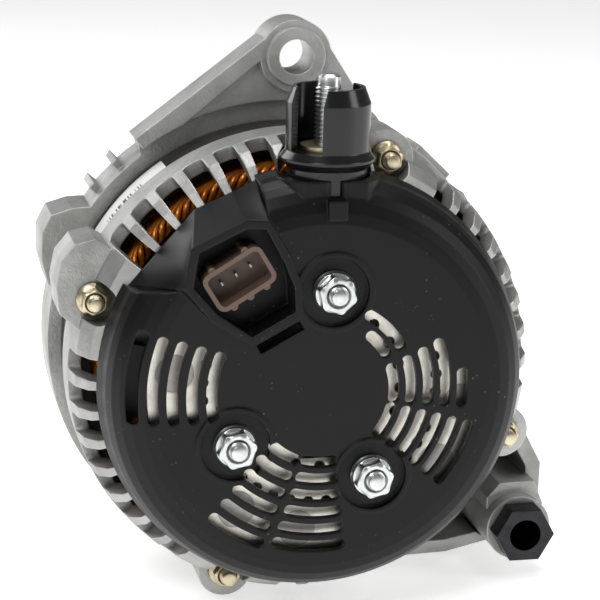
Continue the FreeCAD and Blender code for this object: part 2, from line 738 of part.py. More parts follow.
# ---------------------------------------------------------------- lower ear bushing
bushHead = hexagon("bush_hex", size.bush_flats, lowerStart - size.bush_head, size.bush_head,
                   size.lower_x, lowerZ)
bushTube = rod("bush_tube", size.bush_radius, lowerStart - 1, size.lower_length + 0.5,
               size.lower_x, lowerZ)
bushHole = rod("bush_hole", size.bush_bore, lowerStart - size.bush_head - 1,
               size.lower_length + size.bush_head + 4, size.lower_x, lowerZ)
node(cut("bush_cut", fuse("bush_solid", [bushHead, bushTube]), [bushHole]), "lower_ear_bushing")


# ---------------------------------------------------------------- bearings
def bearing(prefix, bore, outside, ball, back, width, count):
    """Deep groove bearing: two races, balls in a cage, and two shields."""
    pitch = (bore + outside) / 2
    groove = ball + size.race_gap
    middle = back + width / 2
    grooveRing = doc.addObject("Part::Torus", f"{prefix}_groove_outer")
    grooveInner = doc.addObject("Part::Torus", f"{prefix}_groove_inner")
    for torus in (grooveRing, grooveInner):
        bind(torus, "Radius1", pitch)
        bind(torus, "Radius2", groove)
        place(torus, 0.0, middle, 0.0, alongShaft)
    outerRace = ring(f"{prefix}_outer_ring", outside - size.race_wall, outside, back, width)
    innerRace = ring(f"{prefix}_inner_ring", bore, bore + size.race_wall, back, width)
    node(cut(f"{prefix}_outer_cut", outerRace, [grooveRing]), f"{prefix}_outer_race")
    node(cut(f"{prefix}_inner_cut", innerRace, [grooveInner]), f"{prefix}_inner_race")
    balls = []
    pockets = []
    for i in range(count):
        angle = 360.0 / count * i
        sphere = doc.addObject("Part::Sphere", f"{prefix}_ball_{i}")
        bind(sphere, "Radius", ball)
        balls.append(place(sphere, pitch * cosine(angle), middle, pitch * sine(angle)))
        pocket = doc.addObject("Part::Cylinder", f"{prefix}_pocket_{i}")
        bind(pocket, "Radius", groove)
        bind(pocket, "Height", ball * 2)
        turn = math.radians(angle)
        outward = FreeCAD.Rotation(Vector(0, 0, 1), Vector(math.cos(turn), 0, math.sin(turn)))
        reach = pitch - ball
        pockets.append(place(pocket, reach * cosine(angle), middle, reach * sine(angle), outward))
    node(group(f"{prefix}_ball_set", balls), f"{prefix}_balls")
    cageRing = ring(f"{prefix}_cage_ring", pitch - ball * 0.35, pitch + ball * 0.35,
                    middle - ball - 0.8, ball * 2 + 1.6)
    node(cut(f"{prefix}_cage_cut", cageRing, pockets), f"{prefix}_cage")
    shieldGap = 0.15
    shields = []
    for i, start in enumerate((back + 0.3, back + width - 1.1)):
        shields.append(ring(f"{prefix}_shield_{i}", bore + size.race_wall + shieldGap,
                            outside - size.race_wall, start, 0.8))
    node(group(f"{prefix}_shield_set", shields), f"{prefix}_shields")


bearing("front_bearing", size.shaft_radius, size.front_bearing_radius, size.front_ball_radius,
        frontBearingBack, size.front_bearing_width, 8)
bearing("rear_bearing", size.rear_shaft_radius, size.rear_bearing_radius, size.rear_ball_radius,
        rearBearingBack, size.rear_bearing_width, 9)

retainerOuter = frontHub + 2.6
retainer = ring("retainer_ring", size.front_bearing_radius - 3.6, retainerOuter, frontBearingBack - 1.8, 1.8)
screwCircle = size.front_bearing_radius + 3.4
retainerHoles = []
retainerScrews = []
for i in range(4):
    x = screwCircle * cosine(90.0 * i + 45)
    z = screwCircle * sine(90.0 * i + 45)
    retainerHoles.append(rod(f"retainer_hole_{i}", 1.7, frontBearingBack - 3, 5.0, x, z))
    head = rod(f"retainer_head_{i}", 2.9, frontBearingBack - 3.6, 1.8, x, z)
    shank = rod(f"retainer_shank_{i}", 1.6, frontBearingBack - 2.4, 2.4, x, z)
    retainerScrews.append(fuse(f"retainer_screw_{i}", [head, shank]))
node(cut("retainer_cut", retainer, retainerHoles), "bearing_retainer")
node(group("retainer_screw_set", retainerScrews), "retainer_screws")

# ---------------------------------------------------------------- rotor
threadRadius = size.shaft_radius - 1.0
shaftEnd = slipEnd - 1.2
shaft = turned("shaft_blank", [
    (0.0, shaftEnd),
    (size.slip_ring_radius - 3.4, shaftEnd),
    (size.slip_ring_radius - 3.4, rearBearingBack - 0.8),
    (size.rear_shaft_radius, rearBearingBack - 0.8),
    (size.rear_shaft_radius, rearBearingFace),
    (size.shaft_radius + 1.5, rearBearingFace),
    (size.shaft_radius + 1.5, poleFront + 2.5),
    (size.shaft_radius + 1.5, frontBearingBack),
    (size.shaft_radius, frontBearingBack),
    (size.shaft_radius, frontBearingFace + size.spacer_length),
    (threadRadius, frontBearingFace + size.spacer_length),
    (threadRadius, halfPulley + size.nut_height + 0.5),
    (threadRadius - 1.2, halfPulley + size.nut_height + 2.0),
    (0.0, halfPulley + size.nut_height + 2.0),
])
node(shaft, "shaft")
poleBore = size.shaft_radius + 1.5
poleCount = 8
coilOuter = size.pole_radius - 14.5
coreHub = coilOuter - 15.5
clawDepth = 12.0


def claw(name, angle, root, towards):
    """Tapering claw finger: wide and deep at its root, narrow and shallow at its tip."""
    turn = math.radians(angle)
    out = Vector(math.cos(turn), 0, math.sin(turn))
    side = Vector(-math.sin(turn), 0, math.cos(turn))
    radius = size.pole_radius.number
    length = size.pole_length.number - 1.0
    sections = []
    for share, width, depth in ((0.0, 15.0, clawDepth), (1.0, 6.0, 4.0)):
        station = Vector(0, root + towards * length * share, 0)
        outer = radius - 1.1
        corners = [
            station + out * (outer - depth) - side * width * 0.45,
            station + out * outer - side * width * 0.5,
            station + out * outer + side * width * 0.5,
            station + out * (outer - depth) + side * width * 0.45,
        ]
        sections.append(Part.makePolygon(corners + corners[:1]))
    return made(name, Part.makeLoft(sections, True, True))


def pole(prefix, discStart, root, towards, phase):
    """One half of the claw pole pair."""
    disc = ring(f"{prefix}_disc", poleBore, coilOuter + 1.0, discStart, size.pole_disc)
    hubStart = poleMiddle if towards < 0 else discStart
    hub = ring(f"{prefix}_hub", poleBore, coreHub, hubStart, size.pole_length / 2)
    arms = []
    fingers = []
    for i in range(poleCount):
        angle = 360.0 / poleCount * i + phase
        arms.append(spoke(f"{prefix}_arm_{i}", coilOuter - 2, size.pole_radius - 1.1, 15.0,
                          discStart, size.pole_disc, angle))
        fingers.append(claw(f"{prefix}_claw_{i}", angle, root, towards))
    node(fuse(f"{prefix}_solid", [disc, hub] + arms + fingers), prefix)


pole("front_pole", poleFront - size.pole_disc, poleFront.number, -1, 0.0)
pole("rear_pole", poleBack, poleBack.number, 1, 22.5)
coilSpace = size.pole_length - size.pole_disc * 2
bobbinWall = 1.0
bobbinStart = poleBack + size.pole_disc + 0.2
bobbinEnd = poleFront - size.pole_disc - 0.2
bobbin = turned("bobbin_blank", [
    (coreHub, bobbinStart),
    (coilOuter - 0.6, bobbinStart),
    (coilOuter - 0.6, bobbinStart + bobbinWall),
    (coreHub + bobbinWall, bobbinStart + bobbinWall),
    (coreHub + bobbinWall, bobbinEnd - bobbinWall),
    (coilOuter - 0.6, bobbinEnd - bobbinWall),
    (coilOuter - 0.6, bobbinEnd),
    (coreHub, bobbinEnd),
])
node(bobbin, "coil_bobbin")
coil = ring("coil_ring", coreHub + bobbinWall, coilOuter - 1.0, bobbinStart + bobbinWall,
            coilSpace - 0.4 - bobbinWall * 2)
node(coil, "field_coil")


def fan(prefix, discStart, bladeStart, bladeCount, lean):
    """Sheet metal fan: a disc with upright blades, each set at a lean to the radius."""
    disc = ring(f"{prefix}_disc", poleBore, size.pole_radius - 9, discStart, size.fan_disc)
    blades = []
    for i in range(bladeCount):
        angle = 360.0 / bladeCount * i
        turn = math.radians(angle)
        middle = Vector(38.5 * math.cos(turn), bladeStart.number, 38.5 * math.sin(turn))
        sheetBlade = Part.makeBox(17.0, size.fan_blade.number, 1.4, Vector(-8.5, 0, -0.7))
        blade = made(f"{prefix}_blade_{i}", sheetBlade)
        blade.Placement = FreeCAD.Placement(middle, aroundShaft(angle + lean))
        blades.append(blade)
    node(fuse(f"{prefix}_solid", [disc] + blades), prefix)


fan("front_fan", poleFront, poleFront + size.fan_disc - 0.3, 11, 34.0)
fan("rear_fan", poleBack - size.fan_disc, poleBack - size.fan_disc - size.fan_blade + 0.3, 9, -34.0)

collarStart = size.slip_ring_radius - 3.4
slipHub = turned("slip_hub_blank", [
    (collarStart, slipEnd - 1.0),
    (size.slip_ring_radius - 1.4, slipEnd - 1.0),
    (size.slip_ring_radius - 1.4, slipEnd),
    (size.slip_ring_radius - 1.4, slipStart - size.slip_ring_width - size.slip_ring_gap),
    (size.slip_ring_radius, slipStart - size.slip_ring_width - size.slip_ring_gap),
    (size.slip_ring_radius, slipStart - size.slip_ring_width),
    (size.slip_ring_radius - 1.4, slipStart - size.slip_ring_width),
    (size.slip_ring_radius - 1.4, slipStart),
    (size.slip_ring_radius, slipStart),
    (size.slip_ring_radius, rearBearingBack - 1.2),
    (collarStart, rearBearingBack - 1.2),
])
node(slipHub, "slip_ring_hub")
ringStations = {"inner": slipStart - size.slip_ring_width, "outer": slipEnd}
for which, start in ringStations.items():
    node(ring(f"slip_ring_{which}_blank", size.slip_ring_radius - 1.4, size.slip_ring_radius,
              start, size.slip_ring_width), f"slip_ring_{which}")

# ---------------------------------------------------------------- pulley, collar and nut
ribSpan = size.rib_pitch * (size.rib_count - 1)
hubRadius = 14.0
pulleyOutline = [(threadRadius, -halfPulley), (size.pulley_radius, -halfPulley)]
for i in range(int(size.rib_count.number)):
    centre = size.rib_pitch * i - ribSpan / 2
    pulleyOutline += [
        (size.pulley_radius, centre - size.rib_pitch * 0.42),
        (size.pulley_radius - size.rib_depth, centre - size.rib_pitch * 0.08),
        (size.pulley_radius - size.rib_depth, centre + size.rib_pitch * 0.08),
        (size.pulley_radius, centre + size.rib_pitch * 0.42),
    ]
pulleyOutline += [
    (size.pulley_radius, halfPulley),
    (size.pulley_radius - 6.5, halfPulley),
    (size.pulley_radius - 6.5, -halfPulley + 11),
    (hubRadius + 1.5, -halfPulley + 11),
    (hubRadius + 1.5, halfPulley),
    (threadRadius, halfPulley),
]
node(turned("pulley_blank", pulleyOutline), "pulley")
node(ring("spacer_ring", size.shaft_radius, size.shaft_radius + 4.5, frontBearingFace,
          size.spacer_length), "shaft_collar")
nutHex = hexagon("pulley_nut_hex", size.nut_flats, halfPulley, size.nut_height)
nutHole = rod("pulley_nut_hole", threadRadius, halfPulley - 1, size.nut_height + 2)
node(cut("pulley_nut_cut", nutHex, [nutHole]), "pulley_nut")

# ---------------------------------------------------------------- rectifier
negativeStart = rearEnd - size.sink_lift - size.sink_thickness
positiveStart = negativeStart - size.sink_space - size.sink_thickness
sinkFirst = 158.0
sinkLast = 436.0
diodeAngles = [172.0, 196.0, 236.0, 262.0, 326.0, 352.0]
holderHalf = size.brush_breadth / 2 + 1.6
holderTip = size.slip_ring_radius + size.brush_gap + size.brush_length + size.brush_spring + 1.2


def diodeRods(name, radius, start, length):
    rods = []
    for i, angle in enumerate(diodeAngles):
        x = size.diode_circle * cosine(angle)
        z = size.diode_circle * sine(angle)
        rods.append(rod(f"{name}_{i}", radius, start, length, x, z))
    return rods


def sinkPlate(prefix, start, studHole):
    """Rectifier plate: a ring segment with diode seats, stud holes and round air holes."""
    blank = sector(f"{prefix}_blank", size.sink_inner, size.sink_outer, start, size.sink_thickness,
                   sinkFirst, sinkLast)
    cutters = diodeRods(f"{prefix}_seat", size.diode_radius, start - 1, size.sink_thickness + 2)
    cutters += studRods(f"{prefix}_stud", studHole, start - 1, size.sink_thickness + 2)
    for row, (radius, holes) in enumerate(((24.0, 16), (35.0, 30))):
        for i in range(holes):
            angle = sinkFirst + 8 + (sinkLast - sinkFirst - 16) * i / (holes - 1)
            clear = min(abs((angle - stud.number + 180) % 360 - 180) for stud in studAngles)
            if radius * math.radians(clear) < 11.0 and abs(radius - size.stud_circle.number) < 12.0:
                continue
            x = radius * math.cos(math.radians(angle))
            z = radius * math.sin(math.radians(angle))
            cutters.append(rod(f"{prefix}_air_{row}_{i}", 1.7, start - 1, size.sink_thickness + 2, x, z))
    cutters.append(block(f"{prefix}_brush_space", (-holderHalf - 1.5, start - 1, -holderTip - 1.5),
                         (holderHalf * 2 + 3, size.sink_thickness + 2, 20.0)))
    return cut(f"{prefix}_cut", blank, cutters)


node(sinkPlate("negative_plate", negativeStart, size.stud_radius), "negative_heat_sink")
node(sinkPlate("positive_plate", positiveStart, size.stud_radius + 2.0), "positive_heat_sink")
diodeLength = size.sink_thickness + 2.4
node(group("negative_diode_set", diodeRods("negative_diode", size.diode_radius, negativeStart - 1.2,
                                           diodeLength)), "negative_diodes")
node(group("positive_diode_set", diodeRods("positive_diode", size.diode_radius, positiveStart,
                                           diodeLength)), "positive_diodes")
insulatorStart = positiveStart - 1.2
insulatorLength = negativeStart - insulatorStart
insulatorRods = studRods("insulator_rod", size.stud_radius + 2.0, insulatorStart, insulatorLength)
insulatorHeads = studRods("insulator_head", size.stud_radius + 3.6, insulatorStart, 1.2)
insulatorBores = studRods("insulator_bore", size.stud_radius, insulatorStart - 1, insulatorLength + 2)
insulators = []
for i in range(3):
    solid = fuse(f"insulator_solid_{i}", [insulatorRods[i], insulatorHeads[i]])
    insulators.append(cut(f"insulator_{i}", solid, [insulatorBores[i]]))
node(group("insulator_set", insulators), "rectifier_insulators")
ringInner = size.sink_outer + 0.4
terminalRing = sector("terminal_ring_blank", ringInner, ringInner + 6.0, negativeStart - 1.5, 3.0,
                      sinkFirst + 8, 360.0)
leadRods = []
ringHoles = []
for i, angle in enumerate(leadAngles):
    x = leadCircle * cosine(angle)
    z = leadCircle * sine(angle)
    leadRods.append(rod(f"lead_{i}", 0.9, negativeStart - 3.2, coreBack - size.overhang
                        - negativeStart + 3.2, x, z))
    ringHoles.append(rod(f"ring_hole_{i}", 0.9, negativeStart - 3, 6.0, x, z))
node(cut("terminal_ring_cut", terminalRing, ringHoles), "rectifier_terminal_ring")
node(group("lead_set", leadRods), "stator_leads")

# ---------------------------------------------------------------- cover studs and nuts
studTail = recessFloor - 8.2
node(group("stud_set", studRods("stud", size.stud_radius, studTail,
                                rearEnd + size.housing_wall - 2.6 - studTail)), "cover_studs")
coverNuts = []
for i, angle in enumerate(studAngles):
    coverNuts.append(flangeNut(f"cover_nut_{i}", size.stud_circle * cosine(angle),
                               size.stud_circle * sine(angle), recessFloor, size.cover_nut_flats,
                               size.cover_nut_flange, size.stud_radius, measure(6.2)))
node(group("cover_nut_set", coverNuts), "cover_nuts")

# ---------------------------------------------------------------- rear cover with connector hood
coverInner = size.cover_radius - size.cover_wall
domeCentre = size.cover_radius - size.cover_draft - size.cover_edge


def domeOutline(radius, turns):
    """Points of the rounded cover edge; 0 is on the flat face and 90 on the rim."""
    return [(domeCentre + radius * sine(turn), coverFace + size.cover_edge - radius * cosine(turn))
            for turn in turns]


domeTurns = [15.0 * i for i in range(7)]
coverShell = turned("cover_shell", [
    (0.0, coverFace),
    *domeOutline(size.cover_edge, domeTurns),
    (size.cover_radius, coverRim),
    (coverInner, coverRim),
    *domeOutline(size.cover_edge - size.cover_wall, domeTurns[::-1]),
    (0.0, coverFace + size.cover_wall),
])
hoodCorners = [(-41.7, 32.5), (-39.9, 44.1), (-24.2, 52.0), (-18.0, 51.6), (-11.4, 41.1),
               (-7.7, 31.7), (-7.7, 23.5), (-22.0, 15.5), (-34.2, 23.3)]
hoodFeet = [(-55.0, 29.5), (-36.0, 51.4), (-25.4, 56.2), (-18.4, 59.6), (-10.4, 47.0),
            (-7.7, 31.7), (-7.7, 23.5), (-22.0, 15.5), (-36.0, 21.5)]
hoodStart = coverFace - size.hood_rise


def hoodSolid(name, topInset, footInset, start, end):
    """Block between the hood edge and its wider foot on the cover rim."""
    middleX = sum(corner[0] for corner in hoodCorners) / len(hoodCorners)
    middleZ = sum(corner[1] for corner in hoodCorners) / len(hoodCorners)

    def wire(corners, inset, station):
        points = []
        for x, z in corners:
            reach = math.hypot(x - middleX, z - middleZ)
            share = (reach - inset) / reach
            points.append(Vector(middleX + (x - middleX) * share, station, middleZ + (z - middleZ) * share))
        return Part.makePolygon(points + points[:1])
    return made(name, Part.makeLoft([wire(hoodCorners, topInset, start), wire(hoodFeet, footInset, end)],
                                    True, True))


hoodBlock = hoodSolid("hood_block", 0.0, 0.0, hoodStart.number, coverRim.number)
hoodWall = size.hood_wall.number * 1.25
hoodHollow = hoodSolid("hood_hollow", hoodWall, hoodWall, hoodStart.number - 0.01, coverRim.number + 0.01)
hoodFloor = plate("hood_floor", [(x * 1.0, z * 1.0) for x, z in hoodCorners],
                  hoodStart + size.plug_depth + 0.6, 1.6)
nutBosses = studRods("nut_boss", size.recess_radius + 1.6, coverFace - 0.7, insulatorStart - coverFace + 0.7)
nutRecesses = studRods("nut_recess", size.recess_radius, coverFace - 2, size.recess_depth + 2)
nutHoles = studRods("nut_hole", size.stud_radius + 0.3, coverFace - 4, 12.0)
flangeRise = 2.2
flangeDisc = 0.8
flangeFall = 2.0
flangeLow = size.terminal_seat - flangeRise - flangeDisc - flangeFall
collarFoot = size.collar_bottom - 3.5
collarBoss = post("cover_collar", size.collar_radius + 3.4, collarFoot, flangeLow - 2.3 - collarFoot,
                  size.terminal_x, terminalY)
flangeSpace = post("flange_space", size.collar_flange + 0.6, flangeLow - 2.3, 40.0, size.terminal_x, terminalY)
collarBand = rod("cover_band", size.cover_radius, coverFace + 2.4, coverRim - coverFace - 2.4)
collarPart = doc.addObject("Part::Common", "cover_collar_part")
collarPart.Base = collarBoss
collarPart.Tool = collarBand
collarHole = post("cover_collar_hole", size.collar_radius + 0.4, 30.0, 60.0, size.terminal_x, terminalY)
ventSectors = [
    # inner radius, pitch, slots, first angle of the inner and outer slot, last angle of both
    (33.1, 5.7, 5, 159.0, 161.0, 190.5, 186.0),
    (21.5, 5.4, 6, 228.0, 229.0, 247.5, 247.5),
    (21.0, 5.2, 6, 256.5, 254.0, 277.5, 277.0),
    (20.6, 4.9, 6, 322.0, 322.0, 345.0, 345.0),
    (20.8, 5.2, 4, 354.0, 354.0, 378.5, 382.0),
    (41.5, 5.2, 1, 354.0, 354.0, 366.0, 366.0),
    (21.2, 4.8, 2, 33.0, 32.0, 51.0, 61.0),
]
ventDepth = 14.0
ventTools = []
for radius, pitch, count, firstInner, firstOuter, lastInner, lastOuter in ventSectors:
    for i in range(count):
        share = i / max(1, count - 1)
        first = firstInner + (firstOuter - firstInner) * share
        last = lastInner + (lastOuter - lastInner) * share
        ventTools.append(arcSlot(radius + pitch * i, size.vent_width.number, coverFace.number - 3.0,
                                 ventDepth, first, last))
vents = made("vent_slots", Part.Compound(ventTools))
insetCorners = [(x + 0.6, z - 0.8) for x, z in hoodCorners[:4]]
rimCut = plate("rim_cut", [hoodFeet[0]] + insetCorners + [hoodFeet[3], (-22.0, 80.0), (-50.0, 72.0),
                           (-78.0, 42.0)], coverFace - 6, 30.0)
coverBase = cut("cover_base", coverShell, [rimCut])
neck = plate("cover_neck", [(-19.0, 53.0), (-12.0, 58.5), (-11.0, 61.0), (14.5, 61.0), (16.5, 58.8),
                            (22.5, 53.0), (18.0, 46.0), (-13.0, 46.0)], coverFace + 9, coverRim - coverFace - 9)
neckTab = block("neck_tab", (size.terminal_x - 2.7, coverFace - 1.0, 51.0), (5.4, 4.0, 5.5))
coverSolid = fuse("cover_solid", [coverBase, neck, neckTab] + nutBosses)
coverOpen = cut("cover_open", coverSolid, nutRecesses)
coverHooded = fuse("cover_hooded", [coverOpen, hoodBlock, collarPart])
edgeSlot = plate("edge_slot", [(-20.5, 15.0), (-8.0, 21.9), (-6.5, 19.3), (-19.0, 12.3)], coverFace - 2, 6.0)
neckSpace = plate("neck_space", [(-15.5, 52.5), (-10.0, 57.0), (-9.0, 59.0), (12.5, 59.0), (14.5, 57.0),
                                 (19.0, 52.5), (19.0, 44.0), (-16.0, 44.0)], coverFace + 11.5, 20.0)
coverCuts = [hoodHollow, collarHole, flangeSpace, vents, edgeSlot, neckSpace] + nutHoles
coverHollow = cut("cover_hollow", coverHooded, coverCuts)
coverFloored = fuse("cover_floored", [coverHollow, hoodFloor])
plugX = measure(-25.8)
plugZ = measure(34.8)
plugTurn = aroundShaft(size.plug_angle)


def plugBlock(name, long, short, start, length):
    """Rounded block about the connector centre, tilted with it."""
    half = long / 2
    depth = short / 2
    x = plugX - half * cosine(size.plug_angle) + depth * sine(size.plug_angle)
    z = plugZ - half * sine(size.plug_angle) - depth * cosine(size.plug_angle)
    return block(name, (x, start, z), (long, length, short), plugTurn)


def roundedPlug(name, long, short, start, length, corner):
    raw = plugBlock(name + "_raw", long, short, start, length)

    def chosen(edge):
        direction = (edge.Vertexes[1].Point - edge.Vertexes[0].Point).normalize()
        return abs(direction.y) > 0.99
    return rounded(name, raw, corner, chosen)


plugStart = hoodStart + 1.2
regulatorStart = hoodStart + size.plug_depth + 3.6
plugSeat = roundedPlug("plug_seat", size.plug_long - 2.0, size.plug_short - 2.0,
                       hoodStart + size.plug_depth - 1, 6.0, 1.5)
node(cut("cover_finished", coverFloored, [plugSeat]), "rear_cover")

plugOuter = roundedPlug("plug_outer", size.plug_long, size.plug_short, plugStart,
                        hoodStart + size.plug_depth + 0.6 - plugStart, 2.6)
plugNeck = roundedPlug("plug_neck", size.plug_long - 2.4, size.plug_short - 2.4,
                       plugStart + 7, size.plug_depth - 5, 1.4)
plugHollow = roundedPlug("plug_hollow", size.plug_long - size.plug_wall * 2,
                         size.plug_short - size.plug_wall * 2, plugStart - 1, size.plug_depth - 1, 1.6)
plugKeys = []
for i, (across, up) in enumerate(((-0.28, 1), (0.28, 1), (-0.28, -1), (0.0, -1), (0.28, -1))):
    offset = size.plug_long * across
    rise = (size.plug_short / 2) * up
    x = plugX + offset * cosine(size.plug_angle) - rise * sine(size.plug_angle)
    z = plugZ + offset * sine(size.plug_angle) + rise * cosine(size.plug_angle)
    plugKeys.append(rod(f"plug_key_{i}", 1.1, plugStart + 0.4, size.plug_depth - 1.4, x, z))
bladeHoles = []
blades = []
for i in (-1, 0, 1):
    x = plugX + size.blade_pitch * i * cosine(size.plug_angle)
    z = plugZ + size.blade_pitch * i * sine(size.plug_angle)
    for store, name, start, length in (
            (bladeHoles, "blade_hole", plugStart + 5.2, size.plug_depth),
            (blades, "blade", plugStart + 5.2, regulatorStart - plugStart - 5.2)):
        thick = 0.6
        wide = 1.2
        cornerX = x - thick / 2 * cosine(size.plug_angle) + wide / 2 * sine(size.plug_angle)
        cornerZ = z - thick / 2 * sine(size.plug_angle) - wide / 2 * cosine(size.plug_angle)
        store.append(block(f"{name}_{i + 1}", (cornerX, start, cornerZ), (thick, length, wide), plugTurn))
plugSolid = fuse("plug_solid", [plugOuter, plugNeck] + plugKeys)
node(cut("plug_cut", plugSolid, [plugHollow] + bladeHoles), "connector_socket")
node(group("blade_set", blades), "connector_terminals")

# ---------------------------------------------------------------- regulator
regulatorBase = plate("regulator_base", [(-38.0, 29.0), (-33.0, 41.0), (-18.5, 46.5), (-13.5, 38.0),
                                         (-14.5, 26.5), (-26.0, 22.5)],
                      regulatorStart, rearEnd - 0.6 - regulatorStart)
node(regulatorBase, "voltage_regulator")

# ---------------------------------------------------------------- battery terminal
terminalX = size.terminal_x


def cone(name, lowRadius, highRadius, bottom, height):
    """Upright cone on the battery stud axis."""
    thing = doc.addObject("Part::Cone", name)
    bind(thing, "Radius1", lowRadius)
    bind(thing, "Radius2", highRadius)
    bind(thing, "Height", height)
    return place(thing, terminalX, terminalY, bottom)


def guardOpening(name, direction, width, bottom):
    """Upright slot through the guard wall towards a direction seen from above."""
    thing = doc.addObject("Part::Box", name)
    turn = FreeCAD.Rotation(Vector(0, 0, 1), direction)
    bind(thing, "Length", 30.0)
    bind(thing, "Width", width)
    bind(thing, "Height", 30.0)
    side = turn.multVec(Vector(0, -width / 2, 0))
    return place(thing, terminalX + side.x, terminalY + side.y, bottom, turn)


guardRadius = size.collar_radius + 0.2
guardChamfer = 4.5
shankRadius = size.terminal_radius + size.terminal_shoulder
washerThickness = 1.4
collarLow = post("collar_low", size.collar_radius - 0.4, size.collar_bottom,
                 size.terminal_seat - size.collar_bottom, terminalX, terminalY)
flange = [
    cone("flange_rise", size.collar_radius - 0.4, size.collar_flange, flangeLow, flangeRise),
    post("flange_disc", size.collar_flange, flangeLow + flangeRise, flangeDisc, terminalX, terminalY),
    cone("flange_fall", size.collar_flange, guardRadius, flangeLow + flangeRise + flangeDisc, flangeFall),
]
guardWall = post("guard_wall", guardRadius, size.terminal_seat - 0.5,
                 size.guard_top - guardChamfer - size.terminal_seat + 0.5, terminalX, terminalY)
guardTip = cone("guard_tip", guardRadius, guardRadius - 1.8, size.guard_top - guardChamfer, guardChamfer)
guardInside = post("guard_inside", size.collar_radius - 2.6, size.terminal_seat, 30.0, terminalX, terminalY)
guardSlot = guardOpening("guard_slot", 224.0, 10.5, size.terminal_seat)
guardBack = guardOpening("guard_back", 48.0, 6.0, size.terminal_seat + 6)
studHole = post("terminal_hole", shankRadius, size.collar_bottom - 1, 40.0, terminalX, terminalY)
headSpace = hexagon("terminal_head_space", 13.4, 0.0, 5.0, 0.0, 0.0, FreeCAD.Rotation())
place(headSpace, terminalX, terminalY, size.collar_bottom - 0.5)
terminalSolid = fuse("terminal_solid", [collarLow, guardWall, guardTip] + flange)
node(cut("terminal_cut", terminalSolid, [guardInside, guardSlot, guardBack, studHole, headSpace]),
     "battery_terminal_insulator")
studTop = size.terminal_top - 2.6
washerTop = size.terminal_seat + washerThickness
studShank = post("terminal_shank", shankRadius, size.collar_bottom + 2, washerTop - size.collar_bottom - 2,
                 terminalX, terminalY)
studThread = post("terminal_thread", size.terminal_radius, washerTop - 1, studTop - washerTop + 1,
                  terminalX, terminalY)
studTip = post("terminal_tip", size.terminal_radius - 0.9, studTop, 2.6, terminalX, terminalY)
studHead = hexagon("terminal_head", 13.0, 0.0, 4.4, 0.0, 0.0, FreeCAD.Rotation())
place(studHead, terminalX, terminalY, size.collar_bottom)
node(fuse("terminal_stud", [studShank, studThread, studTip, studHead]), "battery_stud")
washer = post("washer_disc", 8.0, size.terminal_seat, washerThickness, terminalX, terminalY)
washerHole = post("washer_hole", shankRadius, size.terminal_seat - 1, 4.0, terminalX, terminalY)
node(cut("washer_cut", washer, [washerHole]), "battery_stud_washer")

# ---------------------------------------------------------------- brushes
holderStart = slipEnd - 1.4
holderLength = rearEnd - 0.1 - holderStart
holderTop = -(size.slip_ring_radius + 1.2)
holderBlock = block("holder_block", (-holderHalf, holderStart, -holderTip),
                    (holderHalf * 2, holderLength, holderTip + holderTop))
chambers = []
for which, start in ringStations.items():
    middle = start + size.slip_ring_width / 2
    chambers.append(block(f"chamber_{which}", (-(size.brush_breadth / 2 + size.brush_gap),
                                               middle - size.brush_width / 2 - size.brush_gap,
                                               -(holderTip - 1.2)),
                          (size.brush_breadth + size.brush_gap * 2, size.brush_width + size.brush_gap * 2,
                           holderTip + 2)))
node(cut("holder_cut", holderBlock, chambers), "brush_holder")
for which, start in ringStations.items():
    middle = start + size.slip_ring_width / 2
    brushTop = -(size.slip_ring_radius + size.brush_gap)
    node(block(f"brush_{which}_block", (-(size.brush_breadth / 2), middle - size.brush_width / 2,
                                        brushTop - size.brush_length),
               (size.brush_breadth, size.brush_width, size.brush_length)), f"brush_{which}")
    springRadius = 1.45
    wire = 0.22
    springBottom = -(holderTip - 1.2).number + wire
    springLength = size.brush_spring.number - wire * 2 - 0.02
    helix = Part.makeHelix(springLength / 5.0, springLength, springRadius)
    section = Part.Wire(Part.Circle(Vector(springRadius, 0, 0), Vector(0, 1, 0), wire).toShape())
    spring = made(f"spring_{which}_wire", Part.Wire(helix).makePipeShell([section], True, True))
    spring.Placement = FreeCAD.Placement(Vector(0, middle.number, springBottom), FreeCAD.Rotation())
    node(spring, f"brush_spring_{which}")

# ---------------------------------------------------------------- checks and export
doc.recompute()
for thing in doc.Objects:
    for state in thing.State:
        if state in ("Invalid", "Error"):
            raise RuntimeError(f"{thing.Name} is {state}")
for thing in nodes:
    shape = thing.Shape
    if shape.isNull() or not shape.isValid() or not shape.Solids:
        raise RuntimeError(f"{thing.Label} has no valid solid")
for thing in nodes:
    thing.Shape.exportStep(f"parts/{thing.Label}.step")
print(len(nodes), "nodes written")
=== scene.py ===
import json
import math
import bmesh
import bpy
from mathutils import Matrix, Vector


